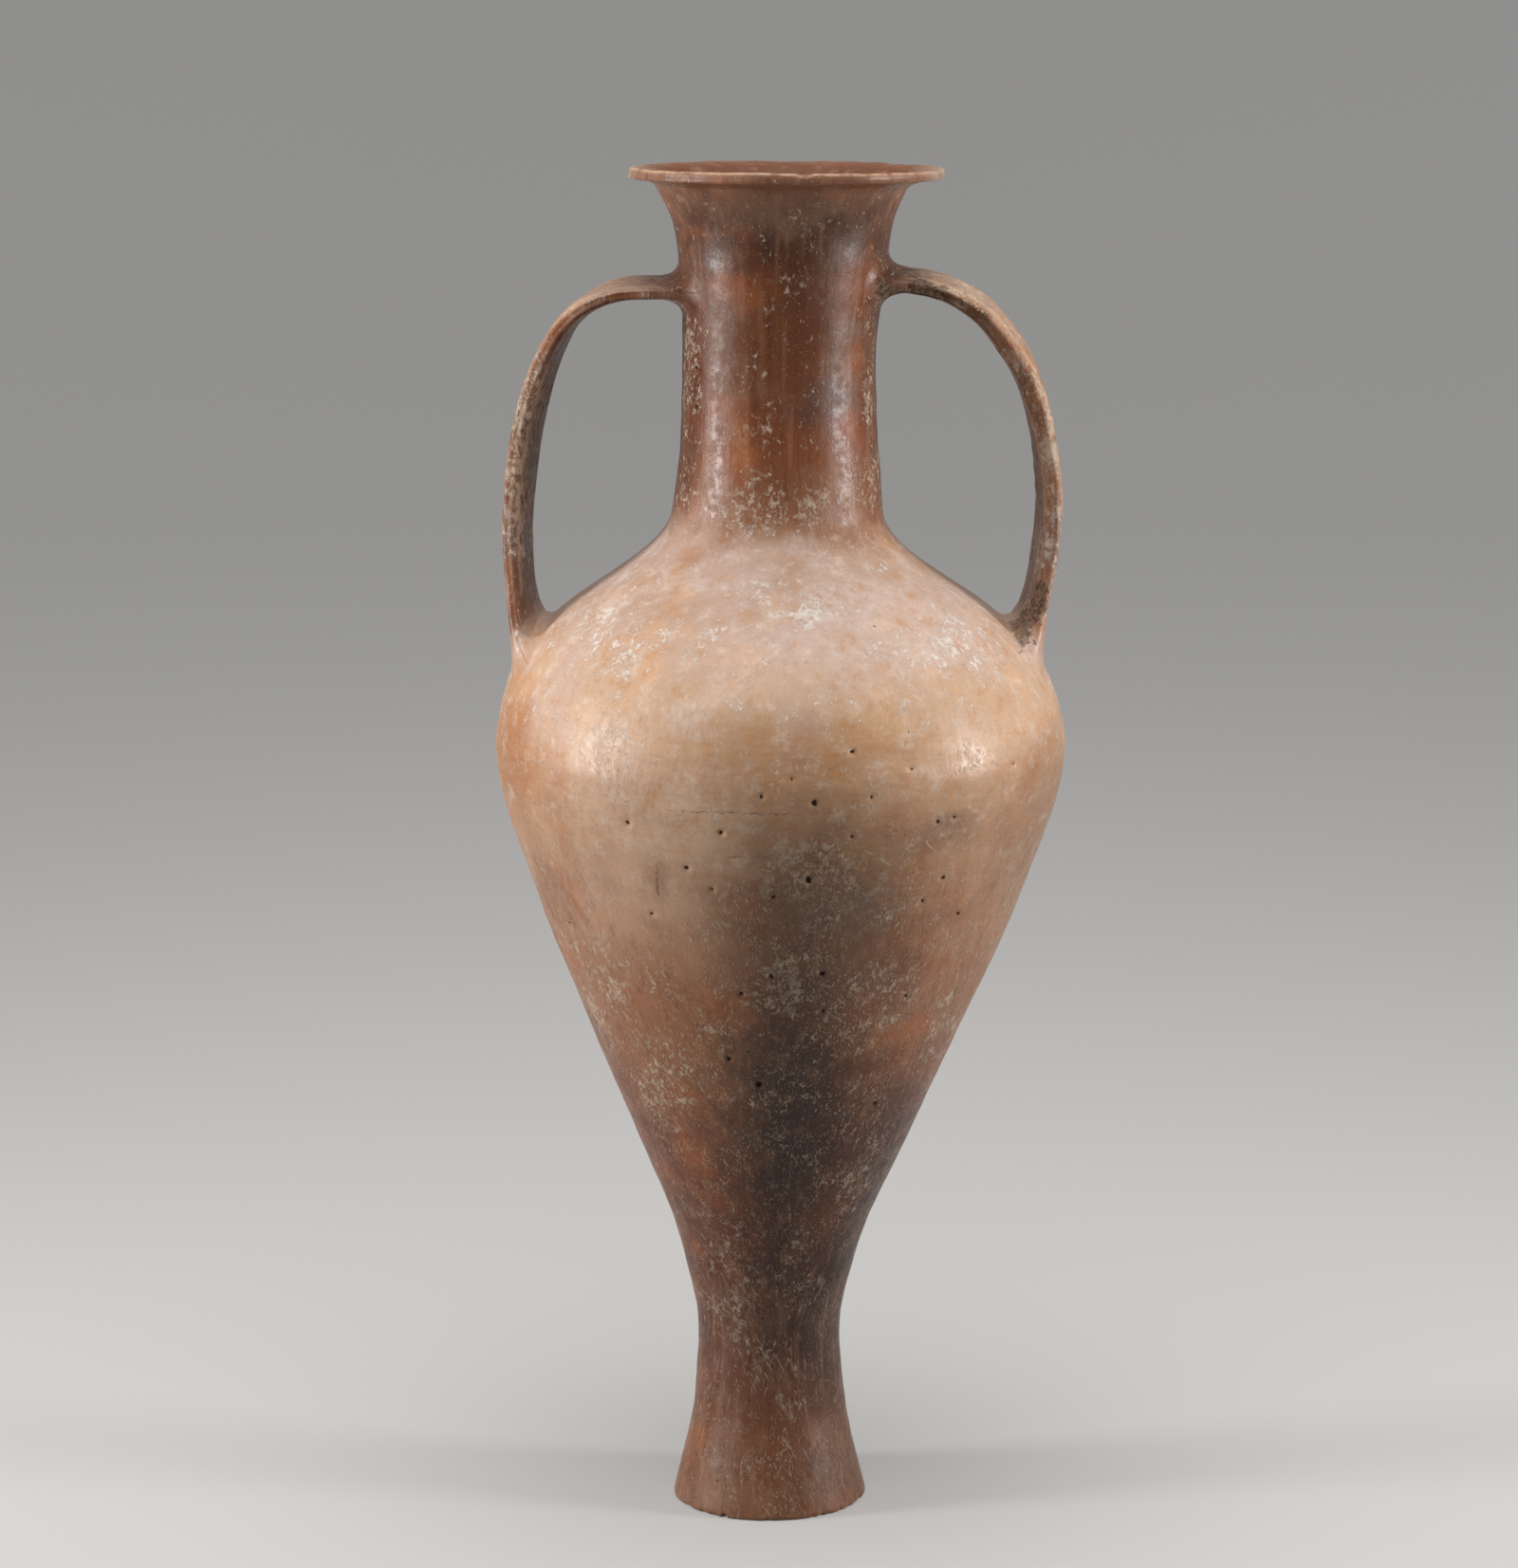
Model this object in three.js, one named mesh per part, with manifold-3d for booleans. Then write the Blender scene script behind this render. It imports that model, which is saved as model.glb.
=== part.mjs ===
// A tall two-handled jar of burnished earthenware, raised in level courses of clay that are luted together.
// Millimetres, +Z up. The origin is on the ground, under the middle of the whole jar.
// The handles reach out along -X and +X.

import * as THREE from "three";
import { mergeVertices } from "three/addons/utils/BufferGeometryUtils.js";
import Module from "manifold-3d";

// Fineness of the faceted surfaces
const segmentsRound = 40;
const stepHeight = 14;
const strapSteps = 30;
const strapSides = 16;
const collarSteps = 7;
const lipCurveSteps = 4;

// Clearance between a handle or its luting clay and what it is pressed on
const lutingGap = 0.3;

// The whole height, and the widest girth that the outlines of the body and the shoulder follow
const jarHeight = 500;
const girthRadius = 105.4;

// Base and foot
const baseThickness = jarHeight * 0.014;
const footRadius = 36.8;
const footArris = 1.2;
const baseTopRadius = 35.6;
const footRingRise = jarHeight * 0.054;
const footRingTopRadius = 29.6;
const footStemRise = jarHeight * 0.06;
const waistRadius = 27.4;

// Lower body, from the waist to the belly
const lowerBody1Rise = jarHeight * 0.072;
const lowerBody1TopRadius = 34.5;
const lowerBody2Rise = jarHeight * 0.08;
const lowerBody2TopRadius = girthRadius * 0.481;
const lowerBody3Rise = jarHeight * 0.09;
const lowerBody3TopRadius = girthRadius * 0.6632;

// Belly, up to the widest girth
const belly1Rise = jarHeight * 0.1;
const belly1TopRadius = girthRadius * 0.8586;
const belly2Rise = jarHeight * 0.11;

// Shoulder
const shoulder1Rise = jarHeight * 0.052;
const shoulder1TopRadius = girthRadius * 0.9383;
const shoulder2Rise = jarHeight * 0.076;
const shoulder2BendShare = 0.58;
const shoulder2BendRadius = girthRadius * 0.7628;
const shoulder2TopRadius = girthRadius * 0.5484;

// Neck
const neckBaseRise = jarHeight * 0.084;
const neckBaseBendShare = 0.38;
const neckBaseBendRadius = 41.2;
const neckBaseTopRadius = 36.9;
const neckMiddleRise = jarHeight * 0.064;
const neckRadius = 35.8;
const neckUpperRise = jarHeight * 0.076;
const neckUpperTopRadius = 38.8;

// Mouth and lip
const mouthFlareRise = jarHeight * 0.052;
const mouthFlareBendShare = 0.54;
const mouthFlareBendRadius = 40.6;
const mouthRadius = 46;
const lipRise = jarHeight * 0.016;
const lipReach = 11.8;
const lipThickness = 4.2;
const lipEdgeRound = 1.5;
const lipTopWidth = 8;

// Wall, square to its surface
const wallThickness = 5.5;
const neckWallThickness = 5;

// How far the axis stands to the right of the origin, as the jar leans
const footOffset = -4;
const waistOffset = -3.9;
const girthOffset = 0;
const neckBaseOffset = -2.1;
const neckOffset = -0.8;
const neckWaistOffset = -0.9;
const neckTopOffset = 0.8;
const mouthOffset = 0.3;
const rimOffset = 2.7;

// Handles: pulled straps, thickest along the middle
const strapThickness = 7.4;
const strapWidth = 34;
const strapNeckWidth = 37;
const strapShoulderWidth = 48;
const strapNeckSpreadShare = 0.14;
const strapShoulderSpreadShare = 0.22;
const strapRootDepth = 9;
const strapSectionPower = 3;
const leftHandleOverhang = 2.9;
const leftHandleDrop = 9.6;
const leftHandleFootRise = 10;
const leftHandleUpperTwist = 6;
const leftHandleLowerTwist = 9;
const leftHandleFootTwist = 6;
const leftHandleUpperThickness = 7.6;
const rightHandleOverhang = 7;
const rightHandleDrop = 7;
const rightHandleFootRise = 10;
const rightHandleUpperTwist = 5;
const rightHandleLowerTwist = -5;
const rightHandleFootTwist = -3;
const rightHandleUpperThickness = 9.8;
const upperTwistShare = 0.3;
const lowerTwistShare = 0.72;

// Luting clay worked round each end of a handle
const neckLutingReach = 9;
const neckLutingSpread = 7.5;
const leftNeckLutingUnderSpread = 8.5;
const rightNeckLutingUnderSpread = 4;
const neckLutingSideSpread = 2.5;
const shoulderLutingReach = 14;
const shoulderLutingSpread = 4;
const shoulderLutingInnerSpread = 8.5;
const shoulderLutingSideSpread = 3.5;
const lutingFeather = 0.9;

// Where each strap's middle line runs: share of the way out from the neck, share of the way up from its foot
const leftPathShares = [
  [0.12, 1.0],
  [0.35, 0.992],
  [0.48, 0.972],
  [0.64, 0.922],
  [0.775, 0.829],
  [0.88, 0.702],
  [0.964, 0.512],
  [1.0, 0.285],
  [0.985, 0.165],
];
const rightPathShares = [
  [0.2, 0.996],
  [0.38, 0.974],
  [0.48, 0.951],
  [0.622, 0.904],
  [0.723, 0.846],
  [0.811, 0.784],
  [0.9, 0.69],
  [0.968, 0.562],
  [1.0, 0.373],
  [0.976, 0.247],
  [0.925, 0.12],
];

// Colours of the burnished clay, from the foot to the lip
const footColour = 0x8a5a43;
const lowerBodyColour = 0x96644a;
const bellyColour = 0xb07e58;
const shoulderColour = 0xbf9478;
const neckColour = 0xa06e55;
const lipColour = 0x9a6244;
const handleColour = 0x98664c;
const lutingColour = 0xa88068;
const burnishedRoughness = 0.45;

// Outline: height and outer radius at each station, added up course by course
const courseSizes = [
  { name: "foot_ring", rise: footRingRise, radius: footRingTopRadius, colour: footColour },
  { name: "foot_stem", rise: footStemRise, radius: waistRadius, colour: footColour },
  { name: "lower_body_1", rise: lowerBody1Rise, radius: lowerBody1TopRadius, colour: lowerBodyColour },
  { name: "lower_body_2", rise: lowerBody2Rise, radius: lowerBody2TopRadius, colour: lowerBodyColour },
  { name: "lower_body_3", rise: lowerBody3Rise, radius: lowerBody3TopRadius, colour: lowerBodyColour },
  { name: "belly_1", rise: belly1Rise, radius: belly1TopRadius, colour: bellyColour },
  { name: "belly_2", rise: belly2Rise, radius: girthRadius, colour: bellyColour },
  { name: "shoulder_1", rise: shoulder1Rise, radius: shoulder1TopRadius, colour: shoulderColour },
  {
    name: "shoulder_2",
    rise: shoulder2Rise,
    radius: shoulder2TopRadius,
    bendShare: shoulder2BendShare,
    bendRadius: shoulder2BendRadius,
    colour: shoulderColour,
  },
  {
    name: "neck_base",
    rise: neckBaseRise,
    radius: neckBaseTopRadius,
    bendShare: neckBaseBendShare,
    bendRadius: neckBaseBendRadius,
    colour: neckColour,
  },
  { name: "neck_middle", rise: neckMiddleRise, radius: neckRadius, colour: neckColour },
  { name: "neck_upper", rise: neckUpperRise, radius: neckUpperTopRadius, colour: neckColour },
  {
    name: "mouth_flare",
    rise: mouthFlareRise,
    radius: mouthRadius,
    bendShare: mouthFlareBendShare,
    bendRadius: mouthFlareBendRadius,
    colour: neckColour,
  },
];

const stations = [
  [0, footRadius],
  [baseThickness, baseTopRadius],
];
const courses = [];
let courseFloor = baseThickness;
for (const size of courseSizes) {
  const top = courseFloor + size.rise;
  if (size.bendShare) {
    stations.push([courseFloor + size.bendShare * size.rise, size.bendRadius]);
  }
  stations.push([top, size.radius]);
  courses.push({ ...size, bottom: courseFloor, top });
  courseFloor = top;
}
const mouthHeight = courseFloor;
const rimHeight = mouthHeight + lipRise;

function courseNamed(name) {
  return courses.find((course) => course.name === name);
}

const neckBaseHeight = courseNamed("neck_base").bottom;
const neckMiddleHeight = courseNamed("neck_middle").bottom;
const neckUpperHeight = courseNamed("neck_upper").bottom;
const neckUpperTop = courseNamed("neck_upper").top;
const shoulder2Height = courseNamed("shoulder_2").bottom;
const waistHeight = courseNamed("foot_stem").top;
const girthHeight = courseNamed("belly_2").top;

// A smooth line through stations that never swings past them: cubic pieces whose slope at a station
// is the weighted harmonic mean of the slopes on its two sides, and nothing at a turning point
function smoothLine(points) {
  const spans = points.slice(1).map((point, i) => point[0] - points[i][0]);
  const grades = points.slice(1).map((point, i) => (point[1] - points[i][1]) / spans[i]);
  const slopes = points.map((point, i) => {
    if (i === 0) {
      return grades[0];
    }
    if (i === points.length - 1) {
      return grades[i - 1];
    }
    if (grades[i - 1] * grades[i] <= 0) {
      return 0;
    }
    const before = 2 * spans[i] + spans[i - 1];
    const after = spans[i] + 2 * spans[i - 1];
    return (before + after) / (before / grades[i - 1] + after / grades[i]);
  });

  function pieceAt(height) {
    let i = 0;
    while (i < spans.length - 1 && height > points[i + 1][0]) {
      i += 1;
    }
    return i;
  }

  function value(height) {
    const i = pieceAt(height);
    const t = (height - points[i][0]) / spans[i];
    const keep = (1 + 2 * t) * (1 - t) * (1 - t);
    const leave = t * (1 - t) * (1 - t) * spans[i];
    const arrive = t * t * (t - 1) * spans[i];
    const between = keep * points[i][1] + (1 - keep) * points[i + 1][1];
    return between + leave * slopes[i] + arrive * slopes[i + 1];
  }

  function slope(height) {
    const i = pieceAt(height);
    const t = (height - points[i][0]) / spans[i];
    const rise = 6 * t * (1 - t) * grades[i];
    return rise + (1 - t) * (1 - 3 * t) * slopes[i] + t * (3 * t - 2) * slopes[i + 1];
  }

  return { value, slope };
}

const outline = smoothLine(stations);
const lean = smoothLine([
  [0, footOffset],
  [waistHeight, waistOffset],
  [girthHeight, girthOffset],
  [neckBaseHeight, neckBaseOffset],
  [neckMiddleHeight, neckOffset],
  [neckUpperHeight, neckWaistOffset],
  [neckUpperTop, neckTopOffset],
  [mouthHeight, mouthOffset],
  [rimHeight, rimOffset],
]);

// The wall keeps its thickness square to the outline, so it is wider across where the outline slopes
function innerRadius(height) {
  const wall = height < neckBaseHeight ? wallThickness : neckWallThickness;
  return outline.value(height) - wall * Math.hypot(1, outline.slope(height));
}

// A closed (radius, height) line turned about the axis, stood upright and shifted by the lean at each height
function turned(points) {
  const lathe = new THREE.LatheGeometry(points, segmentsRound);
  lathe.deleteAttribute("normal");
  lathe.deleteAttribute("uv");
  lathe.rotateX(Math.PI / 2);
  const geometry = mergeVertices(lathe);
  const position = geometry.attributes.position;
  for (let i = 0; i < position.count; i += 1) {
    position.setX(i, position.getX(i) + lean.value(position.getZ(i)));
  }
  return geometry;
}

function heightsBetween(bottom, top) {
  const steps = Math.max(1, Math.ceil((top - bottom) / stepHeight));
  const rise = (top - bottom) / steps;
  return Array.from({ length: steps + 1 }, (_, i) => (i === steps ? top : bottom + rise * i));
}

// One course of the wall: up the outside and down the inside, with level edges
function courseGeometry(course) {
  const heights = heightsBetween(course.bottom, course.top);
  const outside = heights.map((height) => new THREE.Vector2(outline.value(height), height));
  const inside = heights.map((height) => new THREE.Vector2(innerRadius(height), height)).reverse();
  return turned([...outside, ...inside, outside[0]]);
}

// The floor slab, with a small worn arris where it meets the ground
function baseGeometry() {
  return turned([
    new THREE.Vector2(0, 0),
    new THREE.Vector2(footRadius - footArris, 0),
    new THREE.Vector2(footRadius, footArris),
    new THREE.Vector2(outline.value(baseThickness), baseThickness),
    new THREE.Vector2(0, baseThickness),
  ]);
}

// The lip turns out flat from the mouth: round edge outside, a shallow bowl inside
function lipGeometry() {
  const lipRadius = mouthRadius + lipReach;
  const edgeFloor = rimHeight - lipThickness;
  const section = new THREE.Path();
  section.moveTo(innerRadius(mouthHeight), mouthHeight);
  section.quadraticCurveTo(
    innerRadius(mouthHeight) + lipRise / 2,
    rimHeight - lipEdgeRound / 2,
    lipRadius - lipTopWidth,
    rimHeight - lipEdgeRound / 4,
  );
  section.lineTo(lipRadius - lipEdgeRound, rimHeight);
  section.quadraticCurveTo(lipRadius, rimHeight, lipRadius, rimHeight - lipEdgeRound);
  section.quadraticCurveTo(lipRadius, edgeFloor, lipRadius - lipEdgeRound, edgeFloor);
  section.quadraticCurveTo(mouthRadius + lipReach / 2, edgeFloor - lipEdgeRound, mouthRadius, mouthHeight);
  const points = section.getPoints(lipCurveSteps).reverse();
  return turned([...points, points[0].clone()]);
}

// How far out from the origin the shoulder's surface lies on one side
function shoulderEdgeAt(side, height) {
  return outline.value(height) + side * lean.value(height);
}

// A strap's middle line: from inside the neck, out along the shares, down into the shoulder
function strapPath(side, overhang, topHeight, footHeight, shares) {
  const neckEdge = outline.value(topHeight);
  const shoulderEdge = shoulderEdgeAt(side, footHeight);
  const reach = shoulderEdge + overhang;
  const rise = topHeight - footHeight;
  const across = [[neckEdge - strapRootDepth, topHeight]];
  for (const [outShare, upShare] of shares) {
    across.push([neckEdge + outShare * (reach - neckEdge), footHeight + upShare * rise]);
  }
  across.push([shoulderEdge - strapThickness / 4, footHeight]);
  across.push([shoulderEdge - strapThickness, footHeight - strapRootDepth]);
  const points = across.map(([out, height]) => new THREE.Vector3(side * out, 0, height));
  return new THREE.CatmullRomCurve3(points, false, "centripetal");
}

// Half width of the strap at a share of its length, wider where it spreads on to the pot
function strapHalfWidth(share) {
  const neckPart = Math.max(0, 1 - share / strapNeckSpreadShare);
  const shoulderPart = Math.max(0, 1 - (1 - share) / strapShoulderSpreadShare);
  const neckSpread = (strapNeckWidth - strapWidth) * neckPart ** 2;
  const shoulderSpread = (strapShoulderWidth - strapWidth) * shoulderPart ** 2;
  return (strapWidth + neckSpread + shoulderSpread) / 2;
}

// A rounded strap section carried along a path, from one share of its length to another. The section is
// a superellipse that twists about the path. extra(share) widens it sideways and thickens both its faces.
function swept(strap, from, to, steps, extra) {
  const vertices = [];
  const triangles = [];
  const depthAxis = new THREE.Vector3(0, -strap.side, 0);
  for (let step = 0; step <= steps; step += 1) {
    const share = from + ((to - from) * step) / steps;
    const centre = strap.path.getPointAt(share);
    const along = strap.path.getTangentAt(share);
    const twist = THREE.MathUtils.degToRad(strap.twistLine.value(share));
    const across = depthAxis.clone().applyAxisAngle(along, twist);
    const outward = across.clone().cross(along).normalize();
    const more = extra(share);
    const halfWidth = strapHalfWidth(share) + more.sideways;
    const halfThickness = strap.thicknessLine.value(share) / 2;
    for (let k = 0; k < strapSides; k += 1) {
      const angle = (2 * Math.PI * k) / strapSides;
      const u = Math.sign(Math.cos(angle)) * Math.abs(Math.cos(angle)) ** (2 / strapSectionPower);
      const v = Math.sign(Math.sin(angle)) * Math.abs(Math.sin(angle)) ** (2 / strapSectionPower);
      const point = centre.clone();
      point.addScaledVector(across, halfWidth * u);
      point.addScaledVector(outward, v * (halfThickness + (v > 0 ? more.outward : more.inward)));
      vertices.push(point.x, point.y, point.z);
    }
  }
  for (let step = 0; step < steps; step += 1) {
    for (let k = 0; k < strapSides; k += 1) {
      const next = (k + 1) % strapSides;
      const a = step * strapSides + k;
      const b = step * strapSides + next;
      triangles.push(a, a + strapSides, b, b, a + strapSides, b + strapSides);
    }
  }
  const last = steps * strapSides;
  for (let k = 1; k < strapSides - 1; k += 1) {
    triangles.push(0, k, k + 1);
    triangles.push(last, last + k + 1, last + k);
  }
  const geometry = new THREE.BufferGeometry();
  geometry.setAttribute("position", new THREE.Float32BufferAttribute(vertices, 3));
  geometry.setIndex(triangles);
  return geometry;
}

const wasm = await Module();
wasm.setup();

function solidOf(geometry) {
  const vertProperties = geometry.attributes.position.array;
  const triVerts = Uint32Array.from(geometry.index.array);
  return new wasm.Manifold(new wasm.Mesh({ numProp: 3, vertProperties, triVerts }));
}

function geometryOf(solid) {
  const mesh = solid.getMesh();
  const geometry = new THREE.BufferGeometry();
  geometry.setAttribute("position", new THREE.Float32BufferAttribute(mesh.vertProperties, 3));
  geometry.setIndex(Array.from(mesh.triVerts));
  return geometry;
}

// The filled pot, grown by the luting gap, which trims the straps and the luting clay to its surface
function potEnvelope() {
  const heights = [...new Set(courses.flatMap((course) => heightsBetween(course.bottom, course.top)))];
  const points = heights.map((height) => {
    const grown = outline.value(height) + lutingGap * Math.hypot(1, outline.slope(height));
    return new THREE.Vector2(grown, height);
  });
  const low = new THREE.Vector2(0, baseThickness);
  const high = new THREE.Vector2(0, mouthHeight);
  return solidOf(turned([low, ...points, high]));
}

const jar = new THREE.Group();

function addPiece(name, geometry, colour) {
  const material = new THREE.MeshStandardMaterial({ color: colour, roughness: burnishedRoughness, metalness: 0 });
  const mesh = new THREE.Mesh(geometry, material);
  mesh.name = name;
  jar.add(mesh);
}

addPiece("base_disc", baseGeometry(), footColour);
for (const course of courses) {
  addPiece(course.name, courseGeometry(course), course.colour);
}
addPiece("rim_lip", lipGeometry(), lipColour);

const pot = potEnvelope();

const handles = [
  {
    side: -1,
    label: "left",
    overhang: leftHandleOverhang,
    topHeight: neckUpperTop - leftHandleDrop,
    footHeight: shoulder2Height + leftHandleFootRise,
    twists: [leftHandleUpperTwist, leftHandleLowerTwist, leftHandleFootTwist],
    upperThickness: leftHandleUpperThickness,
    underSpread: leftNeckLutingUnderSpread,
    shares: leftPathShares,
  },
  {
    side: 1,
    label: "right",
    overhang: rightHandleOverhang,
    topHeight: neckUpperTop - rightHandleDrop,
    footHeight: shoulder2Height + rightHandleFootRise,
    twists: [rightHandleUpperTwist, rightHandleLowerTwist, rightHandleFootTwist],
    upperThickness: rightHandleUpperThickness,
    underSpread: rightNeckLutingUnderSpread,
    shares: rightPathShares,
  },
];

for (const handle of handles) {
  const { side, overhang, topHeight, footHeight, shares } = handle;
  const path = strapPath(side, overhang, topHeight, footHeight, shares);
  const length = path.getLength();
  const [upperTwist, lowerTwist, footTwist] = handle.twists;
  const strap = {
    side,
    path,
    twistLine: smoothLine([
      [0, 0],
      [upperTwistShare, upperTwist],
      [lowerTwistShare, lowerTwist],
      [1, footTwist],
    ]),
    thicknessLine: smoothLine([
      [0, strapThickness],
      [upperTwistShare, handle.upperThickness],
      [lowerTwistShare, strapThickness],
      [1, strapThickness],
    ]),
  };
  const bare = { sideways: 0, outward: 0, inward: 0 };
  const withGap = { sideways: lutingGap, outward: lutingGap, inward: lutingGap };
  const strapSolid = solidOf(swept(strap, 0, 1, strapSteps, () => bare));
  const strapWithGap = solidOf(swept(strap, 0, 1, strapSteps, () => withGap));
  addPiece(`handle_${handle.label}`, geometryOf(strapSolid.subtract(pot)), handleColour);

  // The clay thins from its spread at the wall to a feather edge, along a quarter round
  const ends = [
    {
      label: "neck",
      reach: neckLutingReach,
      spreads: [neckLutingSideSpread, neckLutingSpread, handle.underSpread],
      near: (share) => share,
    },
    {
      label: "shoulder",
      reach: shoulderLutingReach,
      spreads: [shoulderLutingSideSpread, shoulderLutingSpread, shoulderLutingInnerSpread],
      near: (share) => 1 - share,
    },
  ];
  for (const end of ends) {
    const [sideSpread, outerSpread, innerSpread] = end.spreads;
    const lengthShare = (strapRootDepth + end.reach) / length;
    const extra = (share) => {
      const out = Math.min(1, Math.max(0, (end.near(share) * length - strapRootDepth) / end.reach));
      const fullness = 1 - Math.sqrt(1 - (1 - out) ** 2);
      return {
        sideways: lutingFeather + sideSpread * fullness,
        outward: lutingFeather + outerSpread * fullness,
        inward: lutingFeather + innerSpread * fullness,
      };
    };
    const from = end.label === "neck" ? 0 : 1 - lengthShare;
    const to = end.label === "neck" ? lengthShare : 1;
    const clay = solidOf(swept(strap, from, to, collarSteps, extra));
    const trimmed = clay.subtract(strapWithGap).subtract(pot);
    addPiece(`luting_${handle.label}_${end.label}`, geometryOf(trimmed), lutingColour);
  }
}

export default jar;
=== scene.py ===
"""A tall two-handled jar of burnished, reddish-brown earthenware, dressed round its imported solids.

Metres, +Z up."""

import math

import bpy
import mathutils
import numpy as np
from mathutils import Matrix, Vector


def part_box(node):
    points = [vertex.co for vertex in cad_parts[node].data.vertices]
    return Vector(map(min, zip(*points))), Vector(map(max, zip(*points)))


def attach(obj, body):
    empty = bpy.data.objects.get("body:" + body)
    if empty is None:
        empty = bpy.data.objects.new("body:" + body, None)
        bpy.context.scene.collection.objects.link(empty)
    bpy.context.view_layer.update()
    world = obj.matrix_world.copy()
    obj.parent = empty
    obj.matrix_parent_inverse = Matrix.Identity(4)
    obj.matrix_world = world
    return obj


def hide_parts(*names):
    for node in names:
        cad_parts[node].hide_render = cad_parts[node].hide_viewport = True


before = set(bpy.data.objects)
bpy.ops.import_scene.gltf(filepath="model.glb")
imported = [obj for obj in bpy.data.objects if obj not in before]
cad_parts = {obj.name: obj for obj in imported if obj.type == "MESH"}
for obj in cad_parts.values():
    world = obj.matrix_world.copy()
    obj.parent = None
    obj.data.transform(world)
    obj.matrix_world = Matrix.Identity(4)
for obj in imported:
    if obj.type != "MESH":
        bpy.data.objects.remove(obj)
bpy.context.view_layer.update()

mm = 0.001

# The foot: a floor slab, the flared ring that stands on the ground and the narrow stem above it. The potter
# raised the jar in level courses of coarse red clay, luted each to the next and burnished the whole wall,
# and firing made one body of them. The outline of that wall is worked out here, with the clay itself.
wall_courses = [
    "foot_ring", "foot_stem",
    "lower_body_1", "lower_body_2", "lower_body_3",
    "belly_1", "belly_2",
    "shoulder_1", "shoulder_2",
    "neck_base", "neck_middle", "neck_upper", "mouth_flare",
]
same_level = 0.02 * mm


def level_rings(node):
    """Height, radius and middle of each level ring of a course: half its width, and halfway across it."""
    corners = np.array([vertex.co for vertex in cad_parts[node].data.vertices])
    rings = []
    for height in np.unique(corners[:, 2].round(5)):
        across = corners[abs(corners[:, 2] - height) < same_level, 0]
        rings.append((height, (across.max() - across.min()) / 2, (across.max() + across.min()) / 2))
    return rings


def smooth_line(places, values):
    """A line through given values that bends evenly: cubic pieces whose slope and curvature agree where they
    meet, and whose curvature is nothing at the two ends."""
    spans = np.diff(places)
    grades = np.diff(values) / spans
    last = len(places) - 1
    system = np.eye(last + 1)
    target = np.zeros(last + 1)
    inner = np.arange(1, last)
    system[inner, inner - 1] = spans[:-1]
    system[inner, inner] = 2 * (spans[:-1] + spans[1:])
    system[inner, inner + 1] = spans[1:]
    target[inner] = 6 * np.diff(grades)
    bends = np.linalg.solve(system, target)

    def line(at):
        piece = np.clip(np.searchsorted(places, at) - 1, 0, last - 1)
        after = (at - places[piece]) / spans[piece]
        before = 1 - after
        straight = before * values[piece] + after * values[piece + 1]
        bent = (before**3 - before) * bends[piece] + (after**3 - after) * bends[piece + 1]
        return straight + bent * spans[piece] ** 2 / 6

    return line


wall_rings = level_rings("base_disc")[1:]
for course in wall_courses:
    wall_rings += level_rings(course)[1:]
ring_heights, ring_radii, ring_middles = np.array(sorted(wall_rings)).T
outline_radius = smooth_line(ring_heights, ring_radii)
outline_middle = smooth_line(ring_heights, ring_middles)


def soft_waves(length, seed, count=18):
    """Unevenness of about -1 to 1 that runs on without a seam: the sum of flat sine waves of one length in
    random directions, over the root of half their number."""
    dice = np.random.default_rng(seed)
    ways = dice.normal(size=(count, 3))
    ways *= 2 * np.pi / length / np.linalg.norm(ways, axis=1)[:, None]
    starts = dice.uniform(0, 2 * np.pi, count)

    def height_at(points):
        return np.sin(points @ ways.T + starts).sum(axis=-1) / math.sqrt(count / 2) / 2

    return height_at


hand_waves = soft_waves(85 * mm, seed=3)
thumb_waves = soft_waves(28 * mm, seed=5)
burnish_waves = soft_waves(11 * mm, seed=8)
hand_depth = 0.45 * mm
thumb_depth = 0.14 * mm
burnish_depth = 0.035 * mm
coil_spacing = 12.5 * mm
coil_depth = 0.05 * mm
wall_inset = 0.6 * mm

# Holes burst or plucked out of the wall, by their place seen from the front: x, z and radius in mm
plucked_holes = [
    (24.6, 302.2, 0.8), (45.3, 295.1, 0.5), (11.1, 284.8, 0.9), (3.2, 293.6, 0.45),
    (31.3, 286.1, 0.5), (-7.0, 287.3, 0.55), (55.0, 275.4, 0.8), (60.8, 276.0, 0.6),
    (82.7, 291.7, 0.5), (24.4, 272.2, 0.5), (-54.0, 274.8, 0.7), (-21.2, 273.8, 0.8),
    (-33.3, 259.8, 0.7), (-46.0, 240.5, 0.55), (-14.4, 211.5, 0.7), (-24.6, 252.0, 0.6),
    (-3.6, 218.7, 0.6), (-8.0, 174.5, 1.2), (-18.9, 184.6, 0.8), (-76.7, 229.7, 0.45),
    (9.3, 256.2, 1.1), (-3.0, 249.7, 0.5), (14.5, 219.5, 1.0), (14.6, 204.5, 0.6),
    (44.7, 207.4, 0.65), (63.2, 237.7, 0.7), (57.2, 253.4, 0.6), (50.1, 245.0, 0.65),
    (34.1, 163.4, 0.9), (-30.2, 429.1, 0.7), (-30.6, 414.4, 0.6),
]
smallest_dent = 1.1
hole_depth = 0.9


def hole_relief(across, front, height):
    """How deep the plucked holes go: each is a rounded cup, exp(-(away / radius)^4) deep, on the front."""
    depth = np.zeros(np.broadcast(across, front, height).shape)
    for x, z, radius in plucked_holes:
        away = np.hypot(across - x * mm, height - z * mm) / (max(radius, smallest_dent) * mm)
        depth += hole_depth * radius * mm * np.exp(-(away**4)) * (front < 0)
    return depth


def turned_out(middle, radius, angle, height):
    """Points at a height, out from a middle by a radius that is turned to an angle from the front."""
    across = middle + radius * np.sin(angle)
    return np.stack(np.broadcast_arrays(across, -radius * np.cos(angle), height), axis=-1)


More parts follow.
